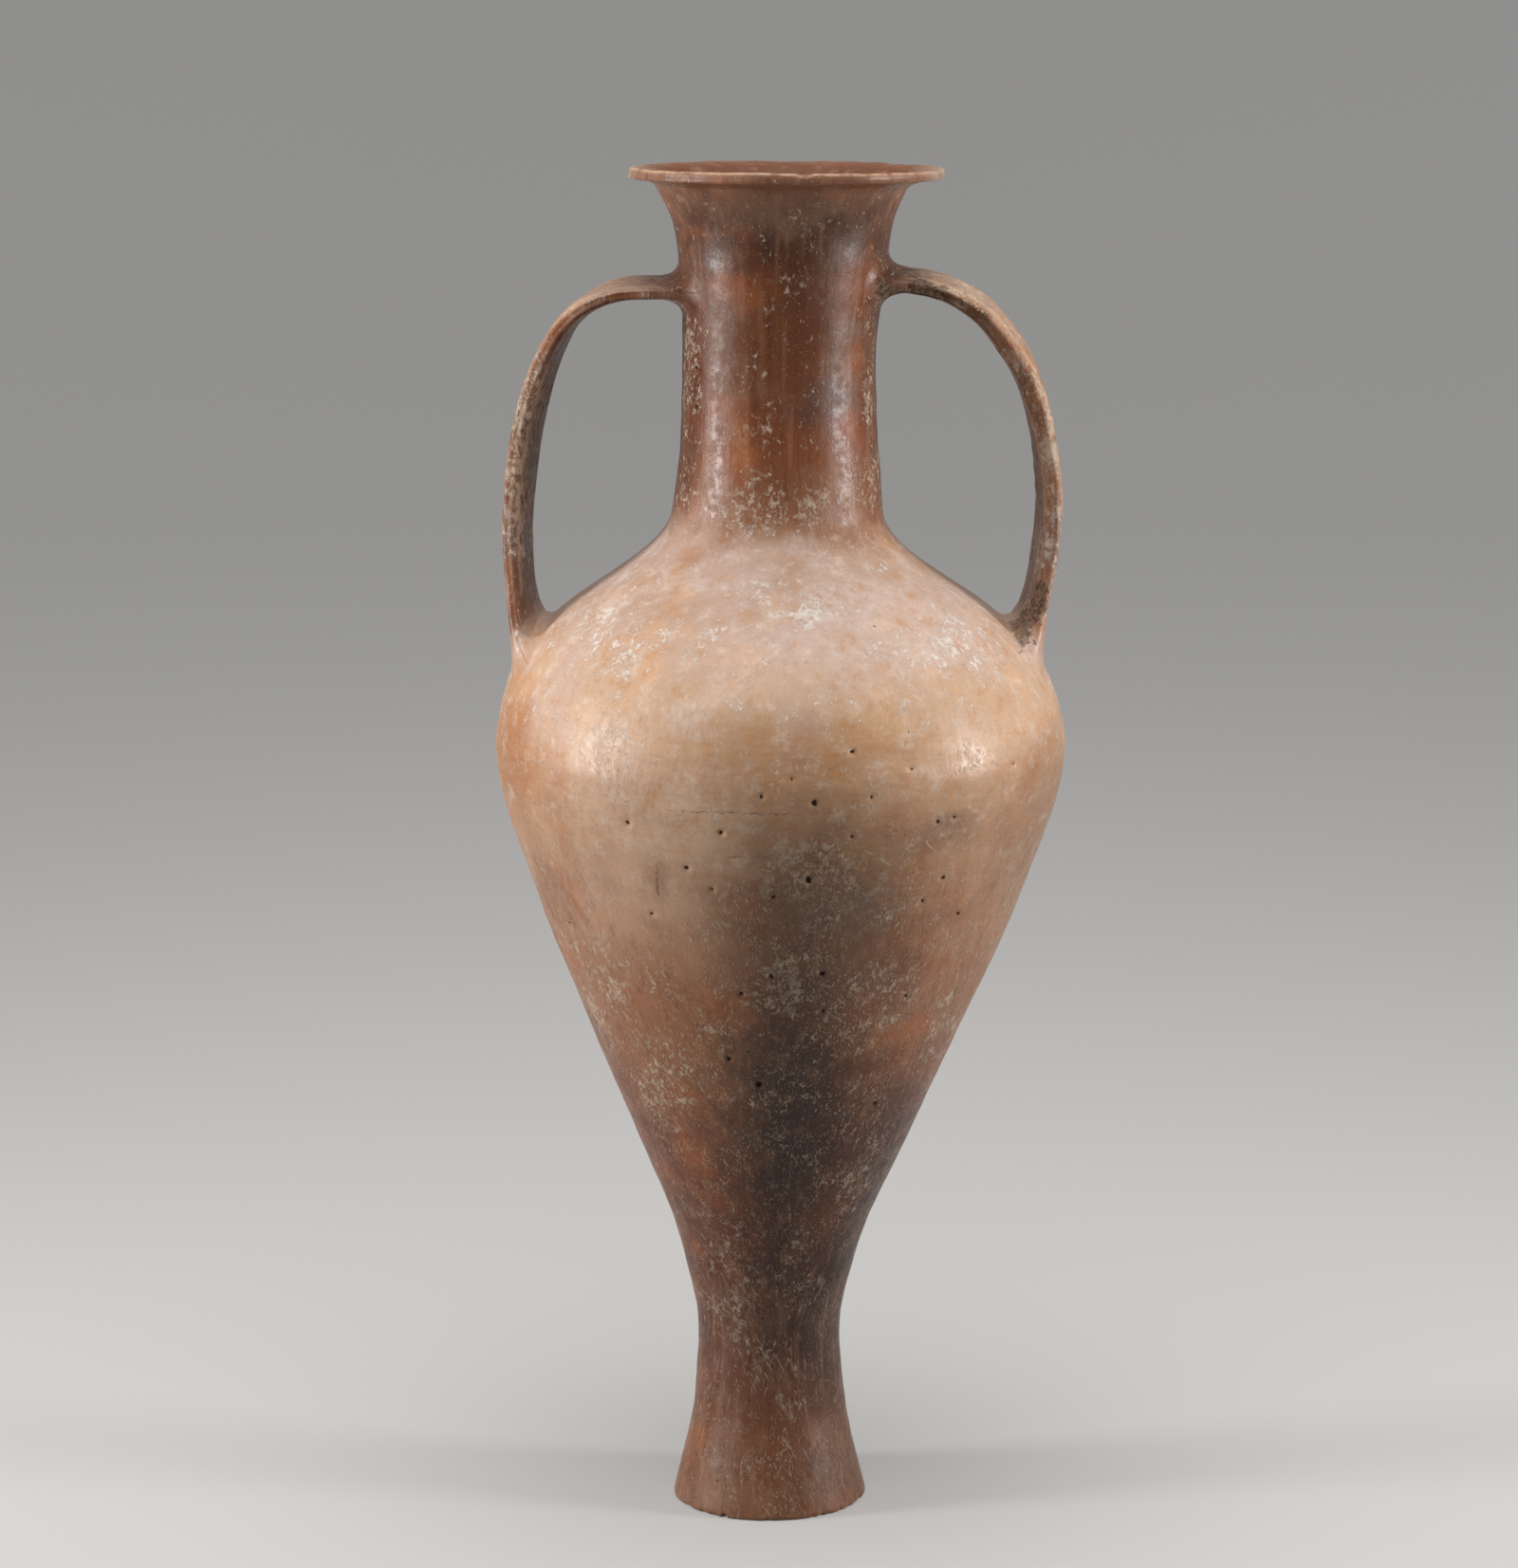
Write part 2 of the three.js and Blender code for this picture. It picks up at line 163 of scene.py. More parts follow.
def outer_wall(angle, height):
    """A point of the outer wall: the outline's middle, plus its radius turned to the angle from the front,
    where the radius takes in the unevenness of the hand, faint coil ridges and the plucked holes."""
    middle = outline_middle(height)
    radius = outline_radius(height)
    even = turned_out(middle, radius, angle, height)
    coils = np.sin(2 * np.pi * (height / coil_spacing + thumb_waves(even) / 6))
    relief = hand_depth * hand_waves(even) + thumb_depth * thumb_waves(even) - wall_inset
    relief = relief + burnish_depth * burnish_waves(even) + coil_depth * coils
    relief = relief - hole_relief(even[..., 0], even[..., 1], height)
    return turned_out(middle, radius + relief, angle, height)


body_wall = 5.5 * mm
neck_wall = 5 * mm
neck_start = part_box("neck_base")[0].z
thinning = 15 * mm
height_step = 0.2 * mm
finger_depth = 0.5 * mm
finger_spacing = 9 * mm


def wall_slope(height, step):
    """How fast the outline's radius grows with height, from one step above and one step below."""
    return (outline_radius(height + step) - outline_radius(height - step)) / step / 2


def inner_wall(angle, height):
    """A point of the inner wall: in from the outline by the wall's thickness, taken square to the slope, and
    out again by a spiral of finger marks."""
    thickness = np.interp(height, [neck_start - thinning, neck_start + thinning], [body_wall, neck_wall])
    radius = outline_radius(height) - thickness * np.hypot(1, wall_slope(height, height_step))
    finger_marks = finger_depth * np.sin(2 * np.pi * height / finger_spacing + angle)
    return turned_out(outline_middle(height), radius + finger_marks, angle, height)


bake_margin = 0.02
most_strips = 8


def joining_quads(row_count, columns, face_rows):
    """Quads that join closed rows of points, each to the next: their rows, columns and four corners."""
    row, column = np.meshgrid(np.arange(face_rows), np.arange(columns), indexing="ij")
    next_row = (row + 1) % row_count
    next_column = (column + 1) % columns
    quads = np.stack([
        row * columns + column,
        row * columns + next_column,
        next_row * columns + next_column,
        next_row * columns + column,
    ], axis=-1)
    return row, column, quads


def new_object(name, data):
    """An object with that data, put into the scene."""
    made = bpy.data.objects.new(name, data)
    bpy.context.scene.collection.objects.link(made)
    return made


def fan_faces(edge, middle, turned):
    """Triangles from a closed edge of corners to a middle one, the other way round if turned."""
    following = np.roll(edge, -1)
    first, second = (following, edge) if turned else (edge, following)
    return np.stack([first, second, np.full(len(edge), middle)], axis=-1)


def clay_piece(node, slot, rows, marks, flat=(), closes=True, bake_shares=None):
    """A closed piece from a grid of points whose rows run round it, made into an object that wears its clay,
    rides the jar and stands in for its solid. Quads join neighbours; the last row joins the first, or else
    each end row closes in a fan on its own middle. Rows named as flat get creased edges. Its bake map
    unrolls it: along a row is across the map, and the columns are shared out over strips, one above
    another."""
    row_count, columns = rows.shape[:2]
    face_rows = row_count if closes else row_count - 1
    row, column, quads = joining_quads(row_count, columns, face_rows)
    corners = quads.reshape(-1)
    starts = np.arange(0, corners.size, 4)
    points = rows.reshape(-1, 3)
    marks = {mark: np.broadcast_to(value, rows.shape[:2]).reshape(-1) for mark, value in marks.items()}

    steps = np.linalg.norm(np.roll(rows, -1, axis=0)[:face_rows] - rows[:face_rows], axis=-1).mean(axis=1)
    weighted = steps * (1 if bake_shares is None else bake_shares)
    cap = 0 if closes else weighted.sum() * bake_margin
    ends = np.concatenate([[0], np.cumsum(weighted)]) + cap
    total = ends[-1] + cap
    girth = np.linalg.norm(np.roll(rows, -1, axis=1) - rows, axis=-1).sum(axis=1).max()
    strips = min(
        [number for number in range(1, most_strips + 1) if columns % number == 0],
        key=lambda number: abs(math.log(girth / total / number**2)),
    )
    per_strip = columns // strips
    keep = 1 - 2 * bake_margin

    def on_map(strip, along, up):
        return np.stack([bake_margin + keep * along, (strip + bake_margin + keep * up) / strips], axis=-1)

    along = np.stack([column % per_strip, column % per_strip + 1], axis=-1)[..., [0, 1, 1, 0]] / per_strip
    up = np.stack([ends[row], ends[row], ends[row + 1], ends[row + 1]], axis=-1) / total
    bake_map = on_map((column // per_strip)[..., None], along, up).reshape(-1, 2)

    if not closes:
        around = np.arange(columns)
        for end_row, map_edge, turned in ((0, 0, True), (row_count - 1, 1, False)):
            fan = fan_faces(around + end_row * columns, len(points), turned)
            points = np.vstack([points, rows[end_row].mean(axis=0)])
            marks = {mark: np.append(value, value[end_row * columns]) for mark, value in marks.items()}
            spot = around % per_strip
            fan_along = np.stack([spot + turned, spot + 1 - turned, spot + 0.5], axis=-1) / per_strip
            edge = ends[0 if turned else -1] / total
            fan_up = np.broadcast_to([edge, edge, map_edge], fan_along.shape)
            fan_map = on_map((around // per_strip)[:, None], fan_along, fan_up)
            bake_map = np.vstack([bake_map, fan_map.reshape(-1, 2)])
            starts = np.concatenate([starts, corners.size + np.arange(0, fan.size, 3)])
            corners = np.concatenate([corners, fan.reshape(-1)])

    mesh = bpy.data.meshes.new(node)
    mesh.vertices.add(len(points))
    mesh.vertices.foreach_set("co", points.reshape(-1))
    mesh.loops.add(len(corners))
    mesh.loops.foreach_set("vertex_index", corners.astype(np.int32))
    mesh.polygons.add(len(starts))
    mesh.polygons.foreach_set("loop_start", starts.astype(np.int32))
    mesh.update(calc_edges=True)
    edge_ends = np.empty(len(mesh.edges) * 2, dtype=np.int32)
    mesh.edges.foreach_get("vertices", edge_ends)
    edge_rows = edge_ends.reshape(-1, 2) // columns
    creased_rows = [(row + side) % row_count for row in flat for side in (0, 1)]
    creased = (edge_rows[:, 0] == edge_rows[:, 1]) & np.isin(edge_rows[:, 0], creased_rows)
    mesh.attributes.new("sharp_edge", "BOOLEAN", "EDGE").data.foreach_set("value", creased)
    mesh.uv_layers.new(name="OFBake").uv.foreach_set("vector", bake_map.reshape(-1))
    for mark, value in marks.items():
        mesh.attributes.new(mark, "FLOAT", "POINT").data.foreach_set("value", value)
    mesh.materials.append(clays[slot])
    mesh.update()
    piece = new_object(node, mesh)
    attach(piece, "root")
    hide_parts(node)


columns_round = 720
row_height = 0.9 * mm
seam_row = 0.04 * mm
inner_row_height = 5 * mm
hidden_share = 0.15
inner_share = 0.4
turns = np.linspace(-np.pi, np.pi, columns_round, endpoint=False)[None, :]


def raised_course(node, slot):
    """One course of the wall: rows up its outside, level across the top edge, rows down its inside, and
    level back across the bottom edge, all taken from the wall as a whole so that the next course meets it.
    A thin row at each end gives both courses the same slope at their seam."""
    low, high = (corner.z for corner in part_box(node))
    outer_rows = math.ceil((high - low) / row_height) + 3
    inner_rows = math.ceil((high - low) / inner_row_height) + 1
    up = np.sort([*np.linspace(low, high, outer_rows - 2), low + seam_row, high - seam_row])[:, None]
    down = np.linspace(high, low, inner_rows)[:, None]
    rows = np.concatenate([outer_wall(turns, up), inner_wall(turns, down)])
    inside = np.repeat([0.0, 1.0], [outer_rows, inner_rows])[:, None]
    shares = np.repeat([1, hidden_share, inner_share, hidden_share], [outer_rows - 1, 1, inner_rows - 1, 1])
    flat = (outer_rows - 1, outer_rows + inner_rows - 1)
    clay_piece(node, slot, rows, {"inside": inside}, flat, bake_shares=shares)


def srgb(red, green, blue):
    """The shader's own numbers for an sRGB colour written from 0 to 255."""
    shares = [part / 255 for part in (red, green, blue)]
    return [s / 12.92 if s <= 0.04045 else ((s + 0.055) / 1.055) ** 2.4 for s in shares] + [1]


# The burnished clay's tone by height in mm, before clouds, film and crust
tone_by_height = [
    (0, (140, 93, 65)), (30, (118, 71, 45)), (60, (100, 54, 32)),
    (100, (98, 52, 31)), (150, (118, 68, 43)), (200, (156, 106, 76)),
    (240, (184, 136, 104)), (275, (202, 158, 124)), (303, (218, 176, 140)),
    (318, (208, 171, 141)), (340, (199, 165, 143)), (358, (194, 160, 137)),
    (376, (154, 104, 74)), (402, (126, 70, 39)), (440, (110, 63, 38)),
    (480, (86, 50, 31)), (500, (150, 102, 76)),
]
jar_height = 500

# Clouds and stains in the clay, and patches of painted shade: middle and reach in mm, colour, how much of
# the tone each takes
clay_clouds_and_shade = [
    # The first three darken the front of the lower body: a fire cloud, deepened with painted shade
    ((14, -90, 238), (42, 60, 52), (92, 62, 45), 0.75),
    ((6, -60, 160), (32, 60, 84), (48, 25, 13), 0.92),
    ((8, -30, 84), (26, 40, 40), (46, 25, 13), 0.8),
    ((42, -30, 124), (24, 50, 66), (56, 29, 16), 0.9),
    ((28, -22, 76), (22, 40, 50), (42, 22, 12), 0.92),
    ((-46, -75, 270), (38, 50, 50), (214, 176, 148), 0.75),
    ((92, -24, 262), (26, 50, 44), (138, 104, 82), 0.6),
    ((30, -20, 18), (20, 40, 20), (96, 66, 50), 0.6),
    ((22, -92, 245), (24, 40, 12), (122, 108, 94), 0.4),
    ((-46, -60, 190), (26, 50, 44), (162, 104, 68), 0.5),
    ((-98, -30, 292), (16, 50, 34), (176, 112, 68), 0.75),
    ((2, -104, 301), (50, 40, 16), (176, 124, 78), 0.5),
    ((-34, -95, 278), (30, 40, 22), (218, 182, 152), 0.75),
    ((26, -70, 214), (14, 40, 24), (130, 92, 70), 0.45),
    ((55, -86, 270), (18, 40, 9), (126, 96, 76), 0.5),
    ((-44, -90, 255), (6, 40, 10), (124, 90, 70), 0.4),
    ((15, -34, 418), (14, 20, 12), (86, 66, 60), 0.6),
    # These two darken the neck's flanks on either side: painted shade
    ((-35, -12, 405), (9, 20, 44), (92, 46, 22), 0.85),
    ((35, -12, 412), (9, 20, 44), (108, 60, 34), 0.7),
    ((61, -6, 497), (18, 36, 14), (184, 160, 142), 0.8),
    ((-61, -6, 497), (16, 30, 12), (176, 150, 130), 0.8),
    ((0, -36, 452), (12, 20, 24), (118, 66, 36), 0.5),
    ((2, -44, 485), (34, 30, 8), (128, 98, 74), 0.5),
    ((48, -56, 344), (44, 50, 22), (222, 194, 180), 0.45),
    ((5, 88, 250), (50, 60, 46), (104, 80, 64), 0.6),
    ((-50, 60, 180), (40, 50, 46), (156, 96, 60), 0.6),
    ((60, 70, 300), (50, 50, 34), (186, 128, 80), 0.6),
    ((10, 40, 110), (40, 50, 50), (62, 44, 36), 0.7),
]

# Where the grey-pink film lies thicker, and two bands of painted sheen on the neck: middle and reach in mm
film_and_sheen_places = [
    ((-80, -60, 232), (18, 50, 44)), ((76, -50, 215), (16, 50, 40)), ((-18, -32, 82), (22, 30, 20)),
    ((-4, -34, 56), (18, 30, 9)), ((24, -34, 24), (12, 40, 16)), ((-4, -40, 10), (34, 30, 10)),
    ((-60, -70, 285), (26, 50, 26)), ((10, -44, 484), (36, 30, 10)), ((34, -66, 342), (46, 40, 20)),
    # The second and third places here are the neck's two milky bands beside the side lights' highlights:
    # painted sheen
    ((32, -20, 482), (14, 30, 12)), ((-20, -34, 440), (10, 20, 40)), ((22, -34, 444), (8, 20, 26)),
    ((57, 0, 497), (14, 40, 8)), ((-58, 0, 497), (14, 40, 8)), ((60, 60, 220), (30, 50, 40)),
    ((-20, 40, 110), (30, 40, 26)), ((-10, 36, 430), (30, 30, 30)),
]

# Where the white crust gathers: middle and reach in mm
crusted_places = [
    ((-34, -14, 424), (12, 24, 26)), ((-36, -14, 382), (14, 24, 14)), ((-4, -37, 409), (14, 20, 8)),
    ((-4, -40, 382), (34, 34, 13)), ((34, -14, 430), (10, 24, 28)), ((35, -16, 390), (12, 24, 18)),
    ((-60, -60, 338), (30, 40, 18)), ((0, -60, 346), (34, 40, 12)), ((66, -60, 335), (28, 40, 16)),
    ((12, -100, 262), (34, 40, 10)), ((0, -84, 214), (16, 30, 12)), ((32, -65, 203), (14, 30, 20)),
    ((-45, -50, 165), (16, 30, 30)), ((-64, -44, 205), (14, 40, 44)), ((62, -44, 182), (10, 40, 28)),
    ((26, -40, 128), (12, 30, 14)), ((-26, -24, 96), (14, 30, 44)), ((98, -20, 400), (20, 30, 70)),
    ((60, -17, 455), (30, 30, 20)), ((-92, -20, 400), (14, 30, 60)), ((57, 0, 497), (12, 40, 8)),
    ((-58, 0, 497), (12, 40, 8)), ((10, 38, 392), (40, 24, 16)), ((-30, 70, 330), (40, 40, 22)),
    ((50, 80, 262), (34, 40, 24)), ((-40, 60, 200), (24, 40, 36)), ((10, 50, 150), (30, 40, 24)),
    ((0, 34, 60), (30, 30, 22)), ((20, 40, 450), (24, 30, 20)),
]

# Sooty, porous clay that was never smoothed, under the right strap's root and inside its foot
porous_places = [
    ((45, -18, 455), (19, 16, 6)),
    ((86, -20, 342), (10, 17, 21)),
]

# Thin marks seen from the front: start and end (x, z) and half width in mm, and light or dark
wall_strokes = [
    ((30.7, 224.0), (35.4, 209.2), 0.35, "light"),
    ((34.1, 222.5), (38.2, 207.3), 0.3, "light"),
    ((30.2, 214.9), (32.0, 208.1), 0.3, "light"),
    ((19.7, 210.4), (21.8, 205.6), 0.3, "light"),
    ((29.1, 266.6), (37.6, 260.6), 0.35, "light"),
    ((49.6, 270.3), (53.5, 264.0), 0.3, "light"),
    ((-30.0, 204.3), (-27.3, 199.9), 0.3, "light"),
    ((-44.2, 268.7), (-39.9, 262.9), 0.5, "light"),
    ((12.7, 147.8), (13.2, 126.6), 0.25, "light"),
    ((2.7, 131.9), (3.2, 115.9), 0.25, "light"),
    ((-19.3, 265.0), (-4.0, 264.6), 0.25, "dark"),
    ((-2.0, 264.3), (12.9, 263.0), 0.2, "dark"),
    ((-40.5, 280.7), (-16.0, 281.4), 0.2, "dark"),
    ((-13.0, 281.2), (1.9, 280.8), 0.25, "dark"),
    ((-44.0, 259.2), (-43.8, 248.6), 0.6, "dark"),
]


def bare_paint(name):
    """A material with no nodes, and a function that puts a node into it: the inputs that come from other
    nodes are linked, the rest are set, a colour as its three sRGB parts, and one output comes back."""
    material = bpy.data.materials.new(name)
    material.use_nodes = True
    tree = material.node_tree
    tree.nodes.clear()

    def put(kind, inputs=None, output=0, **settings):
        made = tree.nodes.new("ShaderNode" + kind)
        for setting, value in settings.items():
            setattr(made, setting, value)
        for key, value in (inputs or {}).items():
            socket = made.inputs[key]
            if isinstance(value, bpy.types.NodeSocket):
                tree.links.new(value, socket)
            elif socket.type == "RGBA":
                socket.default_value = srgb(*value)
            else:
                socket.default_value = value
        return made.outputs[output] if len(made.outputs) else None

    return material, put


def burnished_clay(name):
    """Coarse red clay, burnished, smoked in the fire, filmed and crusted in the ground, with painted shade
    and highlights in places. One pattern in the jar's own coordinates runs over every piece, so the
    courses show no seam. Marks on the mesh say what is inside the jar, how far a strap stands off the
    wall, which strap faces turn inward and which edges carry a painted highlight."""
    material, put = bare_paint(name)

    def reckon(operation, first, second=0.5):
        return put("Math", {0: first, 1: second}, operation=operation)

    def both(first, second):
        return reckon("MULTIPLY", first, second)

    def plus(first, second):
        return reckon("ADD", first, second)

    def without(part):
        return reckon("SUBTRACT", 1.0, part)

    def larger(first, second):
        return reckon("MAXIMUM", first, second)

    def vector_math(operation, first, second=(0, 0, 0), scale=1, output=0):
        return put("VectorMath", {0: first, 1: second, 3: scale}, output=output, operation=operation)

    def rising(value, low, high):
        limits = {"Value": value, "From Min": low, "From Max": high}
        return put("MapRange", limits, interpolation_type="SMOOTHSTEP")

    def tinted(base, colour, amount, blend="MIX"):
        layers = {0: amount, 6: base, 7: colour}
        return put("Mix", layers, output=2, data_type="RGBA", blend_type=blend)

    def shaded(base, colour, amount):
        return tinted(base, colour, amount, "MULTIPLY")

    place = put("TexCoord", output="Object")

    def grain(size, detail=2.0, rough=0.5, stretch=(1, 1, 1), shift=0.0, lean=0.0, curl=0.0, output="Fac"):
        where = place
        if lean:
            where = put("VectorRotate", {"Vector": place, "Angle": lean}, rotation_type="Y_AXIS")
        moved = {0: where, 1: stretch, 2: (shift, shift, shift)}
        where = put("VectorMath", moved, operation="MULTIPLY_ADD")
        noise = {"Vector": where, "Scale": 1 / size, "Distortion": curl}
        return put("TexNoise", noise | {"Detail": detail, "Roughness": rough}, output=output)

    def wandering(size, reach):
        centred = vector_math("SUBTRACT", grain(size, 3, 0.55, output="Color"), (0.5, 0.5, 0.5))
        return vector_math("ADD", place, vector_math("SCALE", centred, scale=reach))

    def part_of(vector, axis):
        return put("SeparateXYZ", {0: vector}, output=axis)

    def patch(middle, reach):
        away = vector_math("SUBTRACT", ragged, [part * mm for part in middle])
        scaled = vector_math("DIVIDE", away, [part * mm for part in reach])
        return rising(vector_math("LENGTH", scaled, output="Value"), 1.25, 0.25)

    def patches(places):
        most = 0.0
        for middle, reach in places:
            most = larger(patch(middle, reach), most)
        return most

    ragged = wandering(16 * mm, 26 * mm)
    rough_edge = wandering(2.2 * mm, 2.4 * mm)
    height = part_of(place, "Z")
    pale_zone = both(rising(height, 284 * mm, 314 * mm), rising(height, 384 * mm, 360 * mm))
    pale_wide = both(rising(height, 215 * mm, 285 * mm), rising(height, 384 * mm, 360 * mm))
    off_pale = without(both(pale_wide, 0.9))
    low_zone = rising(height, 300 * mm, 230 * mm)
    front = rising(part_of(place, "Y"), 2 * mm, -2 * mm)
    inside, stand_off, edge_highlight, turned_in = (
        put("Attribute", output="Fac", attribute_name=mark)
        for mark in ("inside", "stand_off", "edge_highlight", "turned_in")
    )
    on_strap = rising(stand_off, 0.1, 1)
    facing_up = rising(part_of(put("NewGeometry", output="Normal"), "Z"), 0.3, 0.85)
    upward = both(facing_up, without(turned_in))

    # Tone by height, its levels pushed about so that no band is even, and blotches of the body clay
    colour = put("ValToRGB", {0: reckon("DIVIDE", part_of(ragged, "Z"), jar_height * mm)})
    stops = colour.node.color_ramp.elements
    while len(stops) < len(tone_by_height):
        stops.new(0.5)
    for stop, (level, tone) in zip(stops, tone_by_height):
        stop.position = level / jar_height
        stop.color = srgb(*tone)
    warm = both(rising(grain(30 * mm, 4, 0.6, shift=3), 0.5, 0.7), 0.5)
    colour = tinted(colour, tinted((176, 98, 50), (228, 176, 128), pale_zone), warm)
    dull = both(rising(grain(44 * mm, 4, 0.65), 0.5, 0.68), both(low_zone, 0.6))
    colour = shaded(colour, (190, 166, 150), dull)
    rosy = both(rising(grain(38 * mm, 3, 0.6, shift=2), 0.48, 0.66), both(pale_zone, 0.6))
    colour = tinted(colour, (206, 176, 164), rosy)
    for middle, reach, patch_tone, amount in clay_clouds_and_shade:
        colour = tinted(colour, patch_tone, both(patch(middle, reach), amount))

    # Mottles and level rubbing marks on the pale clay
    mottle = grain(8 * mm, 7, 0.76, shift=79)
    colour = tinted(colour, (196, 138, 88), both(rising(mottle, 0.51, 0.64), both(pale_wide, 0.5)))
    colour = tinted(colour, (232, 208, 188), both(rising(mottle, 0.48, 0.35), both(pale_wide, 0.5)))
    level_marks = rising(grain(1.8 * mm, 4, 0.6, stretch=(0.2, 0.2, 1), shift=83), 0.42, 0.7)
    belly_marks = both(level_marks, both(pale_wide, rising(height, 320 * mm, 300 * mm)))
    colour = shaded(colour, (222, 194, 158), both(belly_marks, 0.28))

    # The straps: orange-brown on the left, paler on the right, with painted shade on the faces turned inward
    to_right = rising(part_of(place, "X"), -mm, mm)
    strap = tinted((142, 82, 48), (178, 124, 86), to_right)
    strap = tinted(strap, (96, 60, 42), both(rising(grain(15 * mm, 4, 0.6, shift=5), 0.46, 0.64), 0.6))
    film_share = plus(0.4, both(to_right, 0.3))
    strap_film = rising(grain(10 * mm, 5, 0.7, stretch=(1, 1, 0.4), shift=73), 0.44, 0.6)
    strap = tinted(strap, (198, 164, 144), both(strap_film, film_share))
    strap_lines = grain(2.6 * mm, 4, 0.65, stretch=(1, 1, 0.05), shift=97)
    strap = tinted(strap, (90, 54, 36), both(rising(strap_lines, 0.53, 0.64), 0.45))
    strap = tinted(strap, (184, 110, 60), both(rising(strap_lines, 0.47, 0.36), 0.4))
    # Painted shade: the strap faces turned in toward the neck are darkened
    strap = tinted(strap, (64, 44, 34), both(turned_in, reckon("SUBTRACT", 1.1, film_share)))
    # The faces turned up are paler: film, with painted light from above
    strap = tinted(strap, (196, 166, 144), both(upward, 0.6))
    colour = tinted(colour, strap, both(on_strap, 0.9))

    # Burnishing strokes: fine upright streaks, a little lighter or darker than their ground
    streaks = grain(3.2 * mm, 3, 0.6, stretch=(1, 1, 0.06))
    colour = shaded(colour, (190, 174, 164), both(rising(streaks, 0.5, 0.75), both(off_pale, 0.6)))
    colour = tinted(colour, (220, 168, 126), both(rising(streaks, 0.5, 0.22), both(off_pale, 0.2)))

    # Film: matt, pinkish-grey, with ragged upright fingers, thickened into painted sheen beside the neck's
    # highlights
    film_and_sheen_noise = grain(26 * mm, 5, 0.66, stretch=(1, 1, 0.7), shift=7)
    film_and_sheen_noise = plus(film_and_sheen_noise, both(patches(film_and_sheen_places), 0.14))
    film_grain = grain(2.4 * mm, 4, 0.7, stretch=(1, 1, 0.4))
    film = both(rising(film_and_sheen_noise, 0.5, 0.68), rising(film_grain, 0.3, 0.62))
    film_colour = tinted((154, 120, 98), (228, 208, 198), pale_zone)
    film_depth = reckon("SUBTRACT", plus(0.36, both(pale_zone, 0.14)), both(low_zone, 0.08))
    colour = tinted(colour, film_colour, both(film, film_depth))

    # Crust: white lime in ragged islands with clean clay between, thicker where it gathers, and scratches
    spread = plus(grain(15 * mm, 5, 0.7, shift=11), both(patches(crusted_places), 0.16))
    spread = plus(spread, both(on_strap, 0.06))
    lace = grain(2.1 * mm, 6, 0.76, stretch=(1, 1, 0.75), shift=13, curl=0.8)
    crust = rising(plus(lace, both(spread, 0.55)), 0.878, 0.918)
    root_noise = grain(5 * mm, 4, 0.6, stretch=(1, 1, 0.75), shift=17)
    roots = rising(reckon("ABSOLUTE", reckon("SUBTRACT", root_noise)), 0.014, 0.004)
    crust = larger(crust, both(roots, rising(spread, 0.6, 0.74)))
    scratched = both(rising(spread, 0.36, 0.56), both(low_zone, 0.9))
    for lean, shift in ((0.1, 19), (-0.25, 23), (0.5, 29)):
        scratches = grain(0.8 * mm, 2, 0.5, stretch=(1, 1, 0.07), shift=shift, lean=lean)
        crust = larger(crust, both(rising(scratches, 0.62, 0.69), scratched))

    # Marks seen from the front, each a thin line between two points
    flat_place = vector_math("MULTIPLY", rough_edge, (1, 0, 1))

    def stroke(start, end, half_width):
        first = np.array([start[0], 0, start[1]]) * mm
        way = np.array([end[0], 0, end[1]]) * mm - first
        length = float(np.linalg.norm(way))
        way = (way / length).tolist()
        away = vector_math("SUBTRACT", flat_place, first.tolist())
        along = vector_math("DOT_PRODUCT", away, way, output="Value")
        along = put("Clamp", {"Value": along, "Min": 0, "Max": length})
        nearest = vector_math("SCALE", way, scale=along)
        gap = vector_math("DISTANCE", away, nearest, output="Value")
        return rising(gap, half_width * 1.6 * mm, half_width * 0.4 * mm)

    strokes = {"light": 0.0, "dark": 0.0}
    for start, end, half_width, kind in wall_strokes:
        strokes[kind] = larger(stroke(start, end, half_width), strokes[kind])
    worn_line = both(front, rising(grain(2.6 * mm, 2, 0.5, shift=31), 0.38, 0.55))
    crust = larger(crust, both(both(strokes["light"], worn_line), 0.8))
    flecks = rising(plus(grain(1.4 * mm, 5, 0.75, shift=89), both(spread, 0.25)), 0.77, 0.82)
    crust = larger(crust, both(flecks, both(pale_wide, 0.8)))
    thick = both(rising(grain(3 * mm, 2, 0.5, shift=37), 0.2, 0.6), 0.85)
    lime = tinted((206, 184, 162), (174, 150, 132), rising(height, 190 * mm, 90 * mm))
    colour = tinted(colour, tinted(lime, (232, 221, 211), pale_zone), both(crust, thick))
    colour = tinted(colour, (74, 48, 34), both(both(strokes["dark"], worn_line), 0.55))

    # Plucked holes and pinholes, and grit: dark and pale grains under a millimetre
    nearness = 10.0
    for x, z, radius in plucked_holes:
        away = vector_math("DISTANCE", flat_place, (x * mm, 0, z * mm), output="Value")
        nearness = reckon("MINIMUM", reckon("DIVIDE", away, radius * mm), nearness)
    cells = {"Vector": rough_edge, "Scale": 1 / (11 * mm)}
    chance = part_of(put("TexVoronoi", cells, output="Color"), "X")
    from_middle = put("TexVoronoi", cells, output="Distance")
    pinholes = both(rising(from_middle, 0.045, 0.03), rising(chance, 0.76, 0.78))
    holes = larger(both(rising(nearness, 1.2, 0.8), front), pinholes)
    grit = grain(0.9 * mm, 1, 0.4, shift=41)
    colour = shaded(colour, (140, 122, 110), both(rising(grit, 0.68, 0.8), both(off_pale, 0.6)))
    colour = tinted(colour, (220, 194, 168), both(rising(grit, 0.34, 0.24), 0.25))
